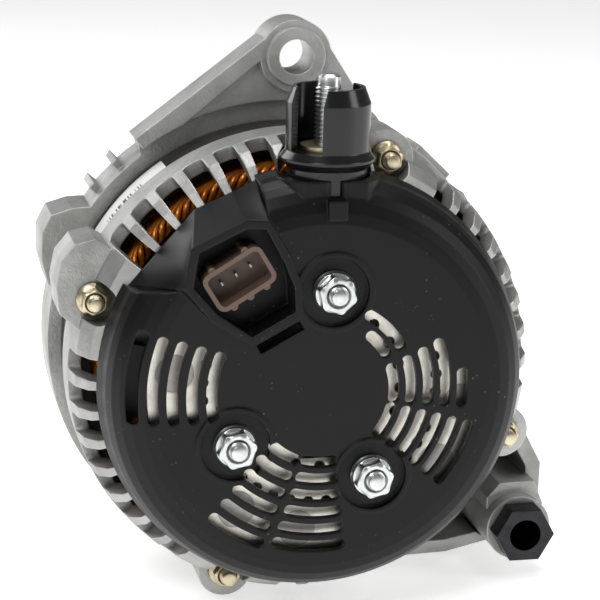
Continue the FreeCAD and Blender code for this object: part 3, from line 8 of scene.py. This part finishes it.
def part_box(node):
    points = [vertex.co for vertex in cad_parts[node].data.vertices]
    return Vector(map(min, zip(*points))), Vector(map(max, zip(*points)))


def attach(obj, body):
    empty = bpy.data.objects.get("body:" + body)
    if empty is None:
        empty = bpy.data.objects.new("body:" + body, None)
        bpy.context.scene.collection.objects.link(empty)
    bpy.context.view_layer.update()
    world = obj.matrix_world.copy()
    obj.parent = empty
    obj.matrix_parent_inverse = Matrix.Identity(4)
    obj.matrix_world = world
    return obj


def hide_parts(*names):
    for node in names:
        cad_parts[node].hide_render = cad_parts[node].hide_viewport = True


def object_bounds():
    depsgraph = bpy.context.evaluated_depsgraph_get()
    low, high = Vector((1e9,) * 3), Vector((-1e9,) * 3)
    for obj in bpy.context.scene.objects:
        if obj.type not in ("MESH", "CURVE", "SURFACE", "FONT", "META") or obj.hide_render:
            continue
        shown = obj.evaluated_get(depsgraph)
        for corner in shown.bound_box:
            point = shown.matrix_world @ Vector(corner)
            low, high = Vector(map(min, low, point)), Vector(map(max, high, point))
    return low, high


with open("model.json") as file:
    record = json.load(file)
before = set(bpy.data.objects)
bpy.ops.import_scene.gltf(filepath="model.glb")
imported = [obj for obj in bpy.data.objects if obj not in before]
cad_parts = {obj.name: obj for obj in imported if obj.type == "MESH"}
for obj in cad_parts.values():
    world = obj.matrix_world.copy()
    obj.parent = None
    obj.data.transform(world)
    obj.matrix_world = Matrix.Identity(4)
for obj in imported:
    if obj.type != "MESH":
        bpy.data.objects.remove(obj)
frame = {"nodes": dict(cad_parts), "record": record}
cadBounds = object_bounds()
cadNodes = frame["nodes"]
millimetre = 0.001
print("frame loaded with", len(cadNodes), "parts")


class Shade:
    # one value of a material: Python operators on it add the Math nodes
    def __init__(self, tree, socket):
        self.tree = tree
        self.socket = socket

    def maths(self, operation, *values):
        return self.tree.node("ShaderNodeMath", {"operation": operation}, dict(enumerate(values)))

    def __add__(self, other):
        return self.maths("ADD", self, other)

    def __radd__(self, other):
        return self.maths("ADD", other, self)

    def __sub__(self, other):
        return self.maths("SUBTRACT", self, other)

    def __rsub__(self, other):
        return self.maths("SUBTRACT", other, self)

    def __mul__(self, other):
        return self.maths("MULTIPLY", self, other)

    def __rmul__(self, other):
        return self.maths("MULTIPLY", other, self)

    def above(self, limit):
        return self.maths("GREATER_THAN", self, limit)

    def fraction(self):
        return self.maths("FRACT", self)

    def size(self):
        return self.maths("ABSOLUTE", self)

    def angleFrom(self, across):
        return self.maths("ARCTAN2", self, across)

    def between(self, low, high):
        # smooth step from 0 at low to 1 at high
        sockets = {"Value": self, "From Min": low, "From Max": high}
        return self.tree.node("ShaderNodeMapRange", {"interpolation_type": "SMOOTHSTEP"}, sockets)


class MaterialTree:
    def __init__(self, name):
        self.material = bpy.data.materials.new(name)
        self.material.use_nodes = True
        self.tree = self.material.node_tree
        self.tree.nodes.clear()

    def node(self, kind, settings=None, sockets=None, output=0):
        made = self.tree.nodes.new(kind)
        for name, value in (settings or {}).items():
            setattr(made, name, value)
        for name, value in (sockets or {}).items():
            self.feed(made.inputs[name], value)
        return Shade(self, made.outputs[output]) if made.outputs else None

    def feed(self, target, value):
        if isinstance(value, Shade):
            self.tree.links.new(value.socket, target)
        else:
            target.default_value = value

    def mixColours(self, factor, first, second):
        sockets = {0: factor, 6: self.colour(first), 7: self.colour(second)}
        return self.node("ShaderNodeMix", {"data_type": "RGBA"}, sockets, output=2)

    def colour(self, value):
        return value if isinstance(value, Shade) else (*value, 1.0)

    def place(self):
        return self.node("ShaderNodeTexCoord", output=3)

    def noise(self, scale, detail=3.0, roughness=0.55, place=None):
        sockets = {"Vector": place or self.place(), "Scale": scale, "Detail": detail, "Roughness": roughness}
        return self.node("ShaderNodeTexNoise", None, sockets)

    def cells(self, scale, place=None):
        return self.node("ShaderNodeTexVoronoi", None, {"Vector": place or self.place(), "Scale": scale})

    def edgeRounding(self, radius):
        return self.node("ShaderNodeBevel", {"samples": 6}, {"Radius": radius})

    def edgeMask(self, rounding):
        # 0 on flat faces, 1 along outside and inside edges
        plain = self.node("ShaderNodeNewGeometry", output=1)
        dot = self.node("ShaderNodeVectorMath", {"operation": "DOT_PRODUCT"}, {0: rounding, 1: plain}, output=1)
        return (1.0 - dot).between(0.02, 0.22)

    def hollowMask(self, distance):
        # 0 in the open, 1 deep in corners, from ambient occlusion; the colours use it for painted shade in
        # corners and recesses
        open_ = self.node("ShaderNodeAmbientOcclusion", {"samples": 6}, {"Distance": distance}, output=1)
        return (1.0 - open_).between(0.25, 0.85)

    def bump(self, height, strength, distance, normal):
        sockets = {"Height": height, "Strength": strength, "Distance": distance, "Normal": normal}
        return self.node("ShaderNodeBump", None, sockets)

    def finish(self, colour, roughness, normal, metallic=0.0, fixed=None):
        sockets = {"Base Color": self.colour(colour), "Roughness": roughness, "Normal": normal,
                   "Metallic": metallic}
        sockets.update(fixed or {})
        surface = self.node("ShaderNodeBsdfPrincipled", None, sockets)
        self.node("ShaderNodeOutputMaterial", None, {"Surface": surface})
        return self.material


castLook = {"light": (0.52, 0.52, 0.505), "dark": (0.10, 0.10, 0.095), "worn": (0.86, 0.86, 0.84),
            "grain": 1500.0, "patches": 55.0, "edge": 0.7 * millimetre, "hollow": 9.0 * millimetre,
            "bumpStrength": 0.55, "bumpHeight": 0.3 * millimetre}


def dieCastAluminium():
    cast = MaterialTree("dieCastAluminium")
    rounding = cast.edgeRounding(castLook["edge"])
    edges = cast.edgeMask(rounding)
    hollows = cast.hollowMask(castLook["hollow"])
    patches = cast.noise(castLook["patches"], 5.0, 0.6)
    grain = cast.noise(castLook["grain"], 4.0, 0.7)
    pores = cast.cells(castLook["grain"] * 0.45)
    body = cast.mixColours(patches.between(0.3, 0.75) * 0.45, castLook["light"], castLook["dark"])
    # painted shade: ambient occlusion darkens corners and recesses towards the dark cast colour
    castWithPaintedShade = cast.mixColours(hollows * 0.75, body, castLook["dark"])
    colour = cast.mixColours(edges * 0.55, castWithPaintedShade, castLook["worn"])
    normal = cast.bump(grain + pores * 0.5, castLook["bumpStrength"], castLook["bumpHeight"], rounding)
    roughness = 0.34 + patches * 0.22 + hollows * 0.12 - edges * 0.10
    return cast.finish(colour, roughness, normal, 0.82)


coverLook = {"base": (0.0036, 0.0035, 0.0038), "worn": (0.016, 0.016, 0.017), "dust": (0.22, 0.21, 0.20),
             "grain": 2600.0, "edge": 0.9 * millimetre, "specks": 420.0, "haze": 24.0, "scatter": 75.0,
             "bumpStrength": 0.24, "bumpHeight": 0.12 * millimetre}


def satinCoverPlastic():
    cover = MaterialTree("satinCoverPlastic")
    rounding = cover.edgeRounding(coverLook["edge"])
    edges = cover.edgeMask(rounding)
    grain = cover.noise(coverLook["grain"], 3.0, 0.6)
    haze = cover.noise(coverLook["haze"], 4.0, 0.6)
    specks = cover.cells(coverLook["specks"])
    scatter = cover.noise(coverLook["scatter"], 3.0, 0.6).between(0.46, 0.72)
    dust = (1.0 - specks.between(0.05, 0.17)) * scatter
    worn = cover.mixColours(edges * 0.5 + haze * 0.12, coverLook["base"], coverLook["worn"])
    colour = cover.mixColours(dust * 0.55, worn, coverLook["dust"])
    normal = cover.bump(grain, coverLook["bumpStrength"], coverLook["bumpHeight"], rounding)
    roughness = 0.30 + haze * 0.16 + dust * 0.25
    return cover.finish(colour, roughness, normal, 0.0, {"Specular IOR Level": 0.24})


def mouldedPlastic(name, base, worn, roughness, grainScale, grainStrength):
    moulded = MaterialTree(name)
    rounding = moulded.edgeRounding(0.0004)
    edges = moulded.edgeMask(rounding)
    grain = moulded.noise(grainScale, 3.0)
    haze = moulded.noise(90.0, 4.0)
    colour = moulded.mixColours(edges * 0.6 + haze * 0.18, base, worn)
    normal = moulded.bump(grain, grainStrength, 0.0001, rounding)
    return moulded.finish(colour, roughness + haze * 0.14, normal)


def platedSteel(name, light, dark, roughness, edge=0.0003, streak=260.0):
    plated = MaterialTree(name)
    rounding = plated.edgeRounding(edge)
    edges = plated.edgeMask(rounding)
    hollows = plated.hollowMask(0.004)
    mottle = plated.noise(streak, 5.0, 0.65)
    fine = plated.noise(3200.0, 2.0)
    body = plated.mixColours(mottle.between(0.35, 0.7) * 0.6, light, dark)
    # painted shade: ambient occlusion darkens hollows towards a darker copy of the dark colour
    platedWithPaintedShade = plated.mixColours(hollows * 0.6, body, tuple(part * 0.3 for part in dark))
    colour = plated.mixColours(edges * 0.4, platedWithPaintedShade, tuple(min(1.0, part * 1.25) for part in light))
    normal = plated.bump(fine + mottle * 0.6, 0.10, 0.00008, rounding)
    return plated.finish(colour, roughness + mottle * 0.18 - edges * 0.06, normal, 1.0)


copperLook = {"bright": (0.95, 0.36, 0.05), "deep": (0.48, 0.12, 0.015), "paintedShadeBetweenStrands": (0.10, 0.030, 0.010),
              "flow": 160.0, "drips": 900.0, "hollow": 3.5 * millimetre, "edge": 0.1 * millimetre}


def enamelledCopper():
    copper = MaterialTree("enamelledCopper")
    smooth = copper.edgeRounding(copperLook["edge"])
    hollows = copper.hollowMask(copperLook["hollow"])
    flow = copper.noise(copperLook["flow"], 4.0, 0.6)
    drips = copper.noise(copperLook["drips"], 3.0, 0.6)
    wireColour = copper.mixColours(flow.between(0.3, 0.7), copperLook["bright"], copperLook["deep"])
    # painted shade: ambient occlusion darkens the hollows between strands to dark brown
    colour = copper.mixColours(hollows * 0.7, wireColour, copperLook["paintedShadeBetweenStrands"])
    normal = copper.bump(drips, 0.2, 0.0001, smooth)
    return copper.finish(colour, 0.26 + flow * 0.22, normal, 0.75)


coreLook = {"sheetsPerMetre": 2000.0, "clean": (0.085, 0.080, 0.060), "stained": (0.035, 0.033, 0.027),
            "gap": (0.012, 0.011, 0.010), "stain": 70.0}


def laminatedCoreSteel():
    core = MaterialTree("laminatedCoreSteel")
    rounding = core.edgeRounding(0.0002)
    place = core.place()
    along = core.node("ShaderNodeSeparateXYZ", None, {0: place}, output=1)
    sheets = (along * coreLook["sheetsPerMetre"]).fraction()
    groove = 1.0 - (sheets - 0.5).size().between(0.36, 0.5)
    stain = core.noise(coreLook["stain"], 5.0, 0.65)
    varnish = core.mixColours(stain.between(0.35, 0.7), coreLook["clean"], coreLook["stained"])
    colour = core.mixColours(groove * 0.5, coreLook["gap"], varnish)
    normal = core.bump(groove + stain * 0.4, 0.35, 0.00012, rounding)
    return core.finish(colour, 0.32 + stain * 0.25, normal, 0.35)


labelLook = {"paper": (0.80, 0.80, 0.79), "ink": (0.05, 0.05, 0.06), "scuff": (0.45, 0.44, 0.42),
             "barsPerMetre": 950.0, "wrapRadius": 0.0685, "bandLow": -0.0645, "bandHigh": -0.0590,
             "first": 0.157, "last": 0.173, "softness": 0.0002, "endSoftness": 0.001}


def barredLabel():
    label = MaterialTree("barredLabel")
    place = label.place()
    across, along, up = (label.node("ShaderNodeSeparateXYZ", None, {0: place}, output=i) for i in range(3))
    turn = up.angleFrom(across) * labelLook["wrapRadius"]
    coarse = (turn * labelLook["barsPerMetre"]).fraction()
    rough = label.noise(labelLook["barsPerMetre"] * 0.9, 0.0, 0.5,
                        label.node("ShaderNodeCombineXYZ", None, {0: turn, 1: 0.0, 2: 0.0}))
    bars = (coarse * 0.4 + rough).above(0.74)
    soft = labelLook["softness"]
    low, high = labelLook["bandLow"], labelLook["bandHigh"]
    band = along.between(low, low + soft) * (1.0 - along.between(high, high + soft))
    soft = labelLook["endSoftness"]
    first, last = labelLook["first"], labelLook["last"]
    ends = turn.between(first, first + soft) * (1.0 - turn.between(last - soft, last))
    scuff = label.noise(600.0, 4.0)
    colour = label.mixColours(bars * band * ends, labelLook["paper"], labelLook["ink"])
    worn = label.mixColours(scuff.between(0.55, 0.8) * 0.4, colour, labelLook["scuff"])
    normal = label.bump(scuff, 0.1, 0.00005, label.edgeRounding(0.0001))
    return label.finish(worn, 0.45 + scuff * 0.2, normal)


carbonLook = {"dark": (0.035, 0.033, 0.034), "dusty": (0.12, 0.10, 0.09), "grain": 2400.0}


def carbonBrush():
    brush = MaterialTree("carbonBrush")
    grain = brush.noise(carbonLook["grain"], 4.0)
    colour = brush.mixColours(grain, carbonLook["dark"], carbonLook["dusty"])
    normal = brush.bump(grain, 0.3, 0.0001, brush.edgeRounding(0.0002))
    return brush.finish(colour, 0.5 + grain * 0.2, normal, 0.2)


finishes = {
    "cast_aluminium": dieCastAluminium(),
    "core_steel": laminatedCoreSteel(),
    "enamelled_copper": enamelledCopper(),
    "label_film": barredLabel(),
    "yellow_zinc": platedSteel("yellowZinc", (0.70, 0.62, 0.44), (0.44, 0.37, 0.24), 0.26),
    "zinc_plate": platedSteel("brightZinc", (0.74, 0.76, 0.75), (0.46, 0.48, 0.47), 0.22),
    "black_steel": platedSteel("blackenedSteel", (0.045, 0.045, 0.048), (0.02, 0.02, 0.021), 0.30, 0.0006),
    "bearing_steel": platedSteel("bearingSteel", (0.68, 0.69, 0.71), (0.50, 0.51, 0.53), 0.10),
    "seal_steel": platedSteel("sealSteel", (0.20, 0.16, 0.13), (0.10, 0.08, 0.07), 0.38),
    "cover_plastic": satinCoverPlastic(),
    "socket_plastic": mouldedPlastic("taupeSocketPlastic", (0.115, 0.072, 0.052), (0.22, 0.155, 0.12), 0.36,
                                     2200.0, 0.12),
    "gloss_black": mouldedPlastic("glossInsulatorPlastic", (0.006, 0.006, 0.0065), (0.03, 0.03, 0.031), 0.13,
                                  1400.0, 0.03),
    "inner_plastic": mouldedPlastic("innerPlastic", (0.02, 0.02, 0.02), (0.05, 0.05, 0.05), 0.5, 1800.0, 0.2),
    "sink_aluminium": platedSteel("rectifierAluminium", (0.90, 0.87, 0.79), (0.66, 0.62, 0.54), 0.30),
    "tin_plate": platedSteel("tinPlate", (0.50, 0.49, 0.46), (0.34, 0.33, 0.30), 0.34),
    "copper": platedSteel("ringCopper", (0.80, 0.42, 0.26), (0.55, 0.26, 0.15), 0.20),
    "carbon": carbonBrush(),
    "pole_steel": platedSteel("poleSteel", (0.20, 0.19, 0.185), (0.11, 0.10, 0.10), 0.42, 0.0006),
    "bright_steel": platedSteel("brightSteel", (0.62, 0.62, 0.61), (0.42, 0.42, 0.41), 0.28, 0.0005),
    "spring_steel": platedSteel("springSteel", (0.60, 0.60, 0.60), (0.42, 0.42, 0.42), 0.24),
    "bobbin_plastic": mouldedPlastic("bobbinPlastic", (0.52, 0.45, 0.33), (0.62, 0.56, 0.45), 0.5, 1600.0, 0.2),
}

slotOfNode = {entry["node"]: entry["material_slot"] for entry in frame["record"]["subparts"]}
for name, part in cadNodes.items():
    part.data.materials.clear()
    part.data.materials.append(finishes[slotOfNode[name]])
print("finishes made:", len(finishes))


def addPiece(name, mesh, slotName, body, replaced=()):
    piece = bpy.data.objects.new(name, mesh)
    bpy.context.scene.collection.objects.link(piece)
    mesh.materials.append(finishes[slotName])
    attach(piece, body)
    if replaced:
        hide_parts(*replaced)
    return piece


def centreOf(box):
    return (box[0] + box[1]) / 2


def solidBoxes(node):
    # lowest and highest corner of every separate solid in a grouped node
    mesh = cadNodes[node].data
    welded = bmesh.new()
    welded.from_mesh(mesh)
    bmesh.ops.remove_doubles(welded, verts=welded.verts, dist=1e-6)
    waiting = set(welded.verts)
    boxes = []
    while waiting:
        island = [waiting.pop()]
        corners = []
        while island:
            vertex = island.pop()
            corners.append(vertex.co.copy())
            for edge in vertex.link_edges:
                other = edge.other_vert(vertex)
                if other in waiting:
                    waiting.remove(other)
                    island.append(other)
        low = Vector([min(corner[i] for corner in corners) for i in range(3)])
        high = Vector([max(corner[i] for corner in corners) for i in range(3)])
        boxes.append((low, high))
    welded.free()
    return sorted(boxes, key=lambda box: (round(box[0].x, 4), round(box[0].z, 4)))


def onCircle(reach, angle, height):
    return Vector((reach * math.cos(angle), reach * math.sin(angle), height))


def gridSurface(rings, closedEnds=True):
    # rings of equal length, each a list of points, joined into one closed skin
    form = bmesh.new()
    made = [[form.verts.new(point) for point in ring] for ring in rings]
    count = len(made[0])
    for lower, upper in zip(made, made[1:]):
        for i in range(count):
            there = (i + 1) % count
            form.faces.new((lower[i], lower[there], upper[there], upper[i]))
    if closedEnds:
        form.faces.new(reversed(made[0]))
        form.faces.new(made[-1])
    return form


def meshFrom(form, name, turn=None, sharpAngle=35.0):
    if turn is not None:
        bmesh.ops.transform(form, matrix=turn, verts=form.verts)
    bmesh.ops.recalc_face_normals(form, faces=form.faces)
    limit = math.radians(sharpAngle)
    for edge in form.edges:
        edge.smooth = len(edge.link_faces) == 2 and edge.calc_face_angle(0.0) < limit
    for face in form.faces:
        face.smooth = True
    mesh = bpy.data.meshes.new(name)
    form.to_mesh(mesh)
    form.free()
    return mesh


def joined(forms):
    whole = bmesh.new()
    for form in forms:
        scratch = bpy.data.meshes.new("scratch")
        form.to_mesh(scratch)
        form.free()
        whole.from_mesh(scratch)
        bpy.data.meshes.remove(scratch)
    return whole


threadLook = {"around": 40, "perTurn": 8, "depthShare": 0.54, "crest": 0.12, "flank": 0.76, "pilotDepth": 1.15,
              "pilotPoint": 0.72}


def threadedRod(radius, pitch, length, plain, tip):
    # rod along +Z from 0: plain shank first, then a helical thread, then a chamfered pilot tip
    depth = pitch * threadLook["depthShare"]
    around = threadLook["around"]
    step = pitch / threadLook["perTurn"]
    rows = max(2, int((length - tip) / step))
    rings = []
    for row in range(rows + 1):
        height = (length - tip) * row / rows
        ring = []
        for i in range(around):
            turn = i / around
            wave = (height / pitch - turn) % 1.0
            tooth = abs(wave * 2.0 - 1.0)
            cutDepth = depth * min(1.0, max(0.0, (tooth - threadLook["crest"]) / threadLook["flank"]))
            if height < plain:
                cutDepth = 0.0
            ease = min(1.0, (length - tip - height) / pitch)
            reach = radius - cutDepth - (1.0 - ease) * (depth - cutDepth)
            ring.append(onCircle(reach, turn * math.tau, height))
        rings.append(ring)
    pilot = radius - depth * threadLook["pilotDepth"]
    for height, reach in ((length - tip * 0.92, pilot), (length - tip * 0.25, pilot),
                          (length, pilot * threadLook["pilotPoint"])):
        rings.append([onCircle(reach, i / around * math.tau, height) for i in range(around)])
    return gridSurface(rings)


hexLook = {"around": 72, "chamfer": 0.93, "flangeShare": 0.16}


def flangeNutForm(flats, flangeRadius, height, boreRadius):
    # nut along +Z from its seat: flange, conical shoulder, chamfered hexagon, countersunk bore
    around = hexLook["around"]
    corner = flats / math.sqrt(3.0)
    flange = height * hexLook["flangeShare"]

    def hexReach(i, limit):
        turn = (i / around * math.tau) % (math.pi / 3) - math.pi / 6
        return min(flats / 2 / math.cos(turn), limit)

    # each step is how far out, how high above the seat, and 1 where the six flats cut it
    profile = [
        (boreRadius, 0.0, 0.0), (flangeRadius * 0.94, 0.0, 0.0), (flangeRadius, flange * 0.35, 0.0),
        (flangeRadius, flange, 0.0), (flangeRadius * 0.95, flange * 1.35, 0.0),
        (corner * 1.01, height * 0.36, 0.0), (corner * 0.995, height * 0.40, 1.0), (corner, height * 0.86, 1.0),
        (corner * 0.965, height * 0.93, 1.0), (flats / 2 * hexLook["chamfer"], height, 0.0),
        (boreRadius * 1.22, height, 0.0), (boreRadius, height - boreRadius * 0.22, 0.0),
    ]
    rings = []
    for reach, rise, isHex in profile:
        ring = []
        for i in range(around):
            turn = i / around * math.tau
            ring.append(onCircle(hexReach(i, reach) if isHex else reach, turn, rise))
        rings.append(ring)
    rings.append([point.copy() for point in rings[0]])
    form = gridSurface(rings, closedEnds=False)
    bmesh.ops.remove_doubles(form, verts=form.verts, dist=1e-7)
    return form


def towards(direction, origin, spin=0.0):
    # matrix that carries +Z to a direction and moves to an origin
    turn = Vector((0, 0, 1)).rotation_difference(Vector(direction)).to_matrix().to_4x4()
    return Matrix.Translation(origin) @ turn @ Matrix.Rotation(spin, 4, "Z")


batteryStud = {"pitch": 1.25 * millimetre, "tip": 3.0 * millimetre, "headHeight": 4.4 * millimetre,
               "shoulder": 0.6 * millimetre, "plainAbove": 0.9 * millimetre, "around": 48}
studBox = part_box("battery_stud")
studMiddle = centreOf(studBox)
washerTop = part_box("battery_stud_washer")[1].z
studRadius = (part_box("battery_stud_washer")[1].x - studMiddle.x) / 2  # the washer is twice the thread across
studFoot = Vector((studMiddle.x, studMiddle.y, studBox[0].z + batteryStud["headHeight"]))
rod = threadedRod(studRadius, batteryStud["pitch"], studBox[1].z - washerTop, batteryStud["plainAbove"],
                  batteryStud["tip"])
rodFoot = Vector((studMiddle.x, studMiddle.y, washerTop))
bmesh.ops.transform(rod, matrix=Matrix.Translation(rodFoot), verts=rod.verts)
shankReach = studRadius + batteryStud["shoulder"]
headReach = (studBox[1].x - studBox[0].x) / 2


def studSection(reach, corners, low, high):
    # upright prism round the stud's own axis: a round shank or a hexagon head
    axis = Vector((studMiddle.x, studMiddle.y, 0.0))
    return gridSurface([[axis + onCircle(reach, i * math.tau / corners, height) for i in range(corners)]
                        for height in (low, high)])


shank = studSection(shankReach, batteryStud["around"], studFoot.z, washerTop)
head = studSection(headReach, 6, studBox[0].z, studFoot.z)
studMesh = meshFrom(joined([rod, shank, head]), "threadedBatteryStud")
addPiece("threadedBatteryStud", studMesh, "zinc_plate", "housing", ("battery_stud",))


def rodSet(name, node, pitch, tip, slotName):
    # threaded rods that point to the rear in place of a group of plain ones
    forms = []
    for low, high in solidBoxes(node):
        middle = (low + high) / 2
        form = threadedRod((high.x - low.x) / 2, pitch, high.y - low.y, 0.0, tip)
        spot = Vector((middle.x, high.y, middle.z))
        bmesh.ops.transform(form, matrix=towards((0, -1, 0), spot), verts=form.verts)
        forms.append(form)
    addPiece(name, meshFrom(joined(forms), name), slotName, "housing", (node,))


def nutSet(name, node, flats, boreRadius, slotName, spin):
    forms = []
    for index, (low, high) in enumerate(solidBoxes(node)):
        middle = (low + high) / 2
        flange = (high.x - low.x) / 2
        form = flangeNutForm(flats, flange, high.y - low.y, boreRadius)
        spot = Vector((middle.x, high.y, middle.z))
        turn = towards((0, -1, 0), spot, spin + index * 0.55)
        bmesh.ops.transform(form, matrix=turn, verts=form.verts)
        forms.append(form)
    addPiece(name, meshFrom(joined(forms), name, None, 28.0), slotName, "housing", (node,))


rodSet("threadedCoverStuds", "cover_studs", 1.0 * millimetre, 1.2 * millimetre, "zinc_plate")
rodSet("threadedThroughBolts", "through_bolts", 0.8 * millimetre, 0.9 * millimetre, "yellow_zinc")
nutSet("coverFlangeNuts", "cover_nuts", 10.0 * millimetre, 3.0 * millimetre, "zinc_plate", 0.2)
nutSet("throughBoltFlangeNuts", "through_bolt_nuts", 7.0 * millimetre, 2.5 * millimetre, "yellow_zinc", 0.4)
print("threaded studs, bolts and nuts made")

winding = {"strands": 120, "wire": 0.95 * millimetre, "lean": math.radians(11.0), "layerStep": 2.3 * millimetre,
           "edge": 1.0 * millimetre, "easeIn": 0.2 * millimetre}


def windingRoutes(face, tip, outer, lean):
    # each strand leaves the core, leans round the end of the coil and returns deeper in
    routes = []
    middle = face + (tip - face) * 0.5
    shoulder = face + (tip - face) * 0.86
    layer = winding["layerStep"]
    for i in range(winding["strands"]):
        start = i / winding["strands"] * math.tau
        stages = [
            (outer, face, 0.0),
            (outer, middle, lean * 0.5),
            (outer - winding["easeIn"], shoulder, lean),
            (outer - layer * 0.6, tip, lean * 1.15),
            (outer - layer * 1.5, shoulder, lean * 1.3),
            (outer - layer * 1.7, middle, lean * 1.9),
            (outer - layer * 1.7, face, lean * 2.4),
        ]
        routes.append([Vector((r * math.cos(start + a), y, r * math.sin(start + a))) for r, y, a in stages])
    return routes


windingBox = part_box("stator_winding")
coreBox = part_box("stator_core")
windingOuter = (windingBox[1].x - windingBox[0].x) / 2 - winding["wire"]
curve = bpy.data.curves.new("statorWindingStrands", "CURVE")
curve.dimensions = "3D"
curve.bevel_depth = winding["wire"]
curve.bevel_resolution = 2
curve.resolution_u = 3
for face, tip, lean in ((coreBox[0].y, windingBox[0].y + winding["edge"], winding["lean"]),
                        (coreBox[1].y, windingBox[1].y - winding["edge"], -winding["lean"])):
    for route in windingRoutes(face, tip, windingOuter, lean):
        spline = curve.splines.new("NURBS")
        spline.points.add(len(route) - 1)
        for point, place in zip(spline.points, route):
            point.co = (*place, 1.0)
        spline.order_u = 3
        spline.use_endpoint_u = True
strands = bpy.data.objects.new("statorWindingStrands", curve)
bpy.context.scene.collection.objects.link(strands)
curve.materials.append(finishes["enamelled_copper"])
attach(strands, "housing")
innerCoil = {"wall": 5.2 * millimetre, "around": 144}
coilForms = []
for face, tip in ((coreBox[0].y, windingBox[0].y + winding["edge"] * 2.5),
                  (coreBox[1].y, windingBox[1].y - winding["edge"] * 2.5)):
    outside = windingOuter - winding["layerStep"] * 2.2
    inside = outside - innerCoil["wall"]
    around = innerCoil["around"]
    profile = [(inside, face), (outside, face), (outside, tip), (inside, tip), (inside, face)]
    rings = [[Vector((r * math.cos(i / around * math.tau), y, r * math.sin(i / around * math.tau)))
              for i in range(around)] for r, y in profile]
    form = gridSurface(rings, closedEnds=False)
    bmesh.ops.remove_doubles(form, verts=form.verts, dist=1e-7)
    coilForms.append(form)
addPiece("statorWindingCore", meshFrom(joined(coilForms), "statorWindingCore"), "enamelled_copper", "housing",
         ("stator_winding",))
print("stator winding made with", winding["strands"] * 2, "strands")

stage = {"reach": 4.0, "gap": 0.5 * millimetre, "floorColour": (0.86, 0.86, 0.86), "shade": (0.80, 0.80, 0.80),
         "paperGrain": 6.0, "glow": 0.62, "airStrength": 0.16}
floorForm = bmesh.new()
bmesh.ops.create_grid(floorForm, x_segments=1, y_segments=1, size=stage["reach"])
floorMesh = bpy.data.meshes.new("studioFloor")
floorForm.to_mesh(floorMesh)
floorForm.free()
floor = bpy.data.objects.new("studioFloor", floorMesh)
bpy.context.scene.collection.objects.link(floor)
floor.location = (0, 0, cadBounds[0][2] - stage["gap"])
floorTree = MaterialTree("palePaper")
paper = floorTree.noise(stage["paperGrain"], 2.0)
paperColour = floorTree.mixColours(paper * 0.1, stage["floorColour"], stage["shade"])
paperGlow = {"Emission Color": (1.0, 1.0, 1.0, 1.0), "Emission Strength": stage["glow"]}
floorMesh.materials.append(floorTree.finish(paperColour, 0.9, floorTree.edgeRounding(0.0001), 0.0, paperGlow))

# where the camera stands, and which way its right side and its top point
view = {"spot": (-0.1370, -0.6613, 0.1735), "right": (0.9746, -0.2224, 0.0269), "up": (0.0303, 0.2501, 0.9677),
        "lens": 122.6, "sensor": 36.0}
camera = bpy.data.objects.new("camera", bpy.data.cameras.new("camera"))
bpy.context.scene.collection.objects.link(camera)
right = Vector(view["right"]).normalized()
up = (Vector(view["up"]) - right * Vector(view["up"]).dot(right)).normalized()
back = right.cross(up)
camera.matrix_world = Matrix.Translation(view["spot"]) @ Matrix((right, up, back)).transposed().to_4x4()
camera.data.lens = view["lens"]
camera.data.sensor_width = view["sensor"]
camera.data.clip_start = 0.01
bpy.context.scene.camera = camera

lamps = {
    # name: (place, aimed at, width, height, watts)
    "keyWindow": ((-0.55, -0.75, 0.95), (0.0, -0.08, 0.0), 0.45, 0.45, 6.5),
    "rightWindow": ((1.05, -0.55, 0.45), (0.0, -0.06, 0.0), 0.4, 0.9, 3.6),
    "topWindow": ((0.1, 0.15, 1.2), (0.0, -0.05, 0.0), 0.8, 0.5, 8.0),
    "backWindow": ((-0.7, 0.9, 0.5), (0.0, -0.05, 0.0), 0.6, 0.8, 4.5),
    "lowWindow": ((-0.9, -0.9, -0.02), (0.0, -0.08, 0.0), 0.5, 0.25, 0.6),
}
for name, (spot, aim, width, height, watts) in lamps.items():
    light = bpy.data.lights.new(name, "AREA")
    light.shape = "RECTANGLE"
    light.size = width
    light.size_y = height
    light.energy = watts
    lamp = bpy.data.objects.new(name, light)
    bpy.context.scene.collection.objects.link(lamp)
    lamp.location = spot
    lamp.rotation_euler = (Vector(aim) - Vector(spot)).to_track_quat("-Z", "Y").to_euler()
world = bpy.data.worlds.new("studioAir")
bpy.context.scene.world = world
world.use_nodes = True
air = world.node_tree.nodes["Background"].inputs
air["Color"].default_value = (1.0, 1.0, 1.0, 1.0)
air["Strength"].default_value = stage["airStrength"]
bpy.context.scene.view_settings.view_transform = "Standard"
print("stage, lights and camera set")
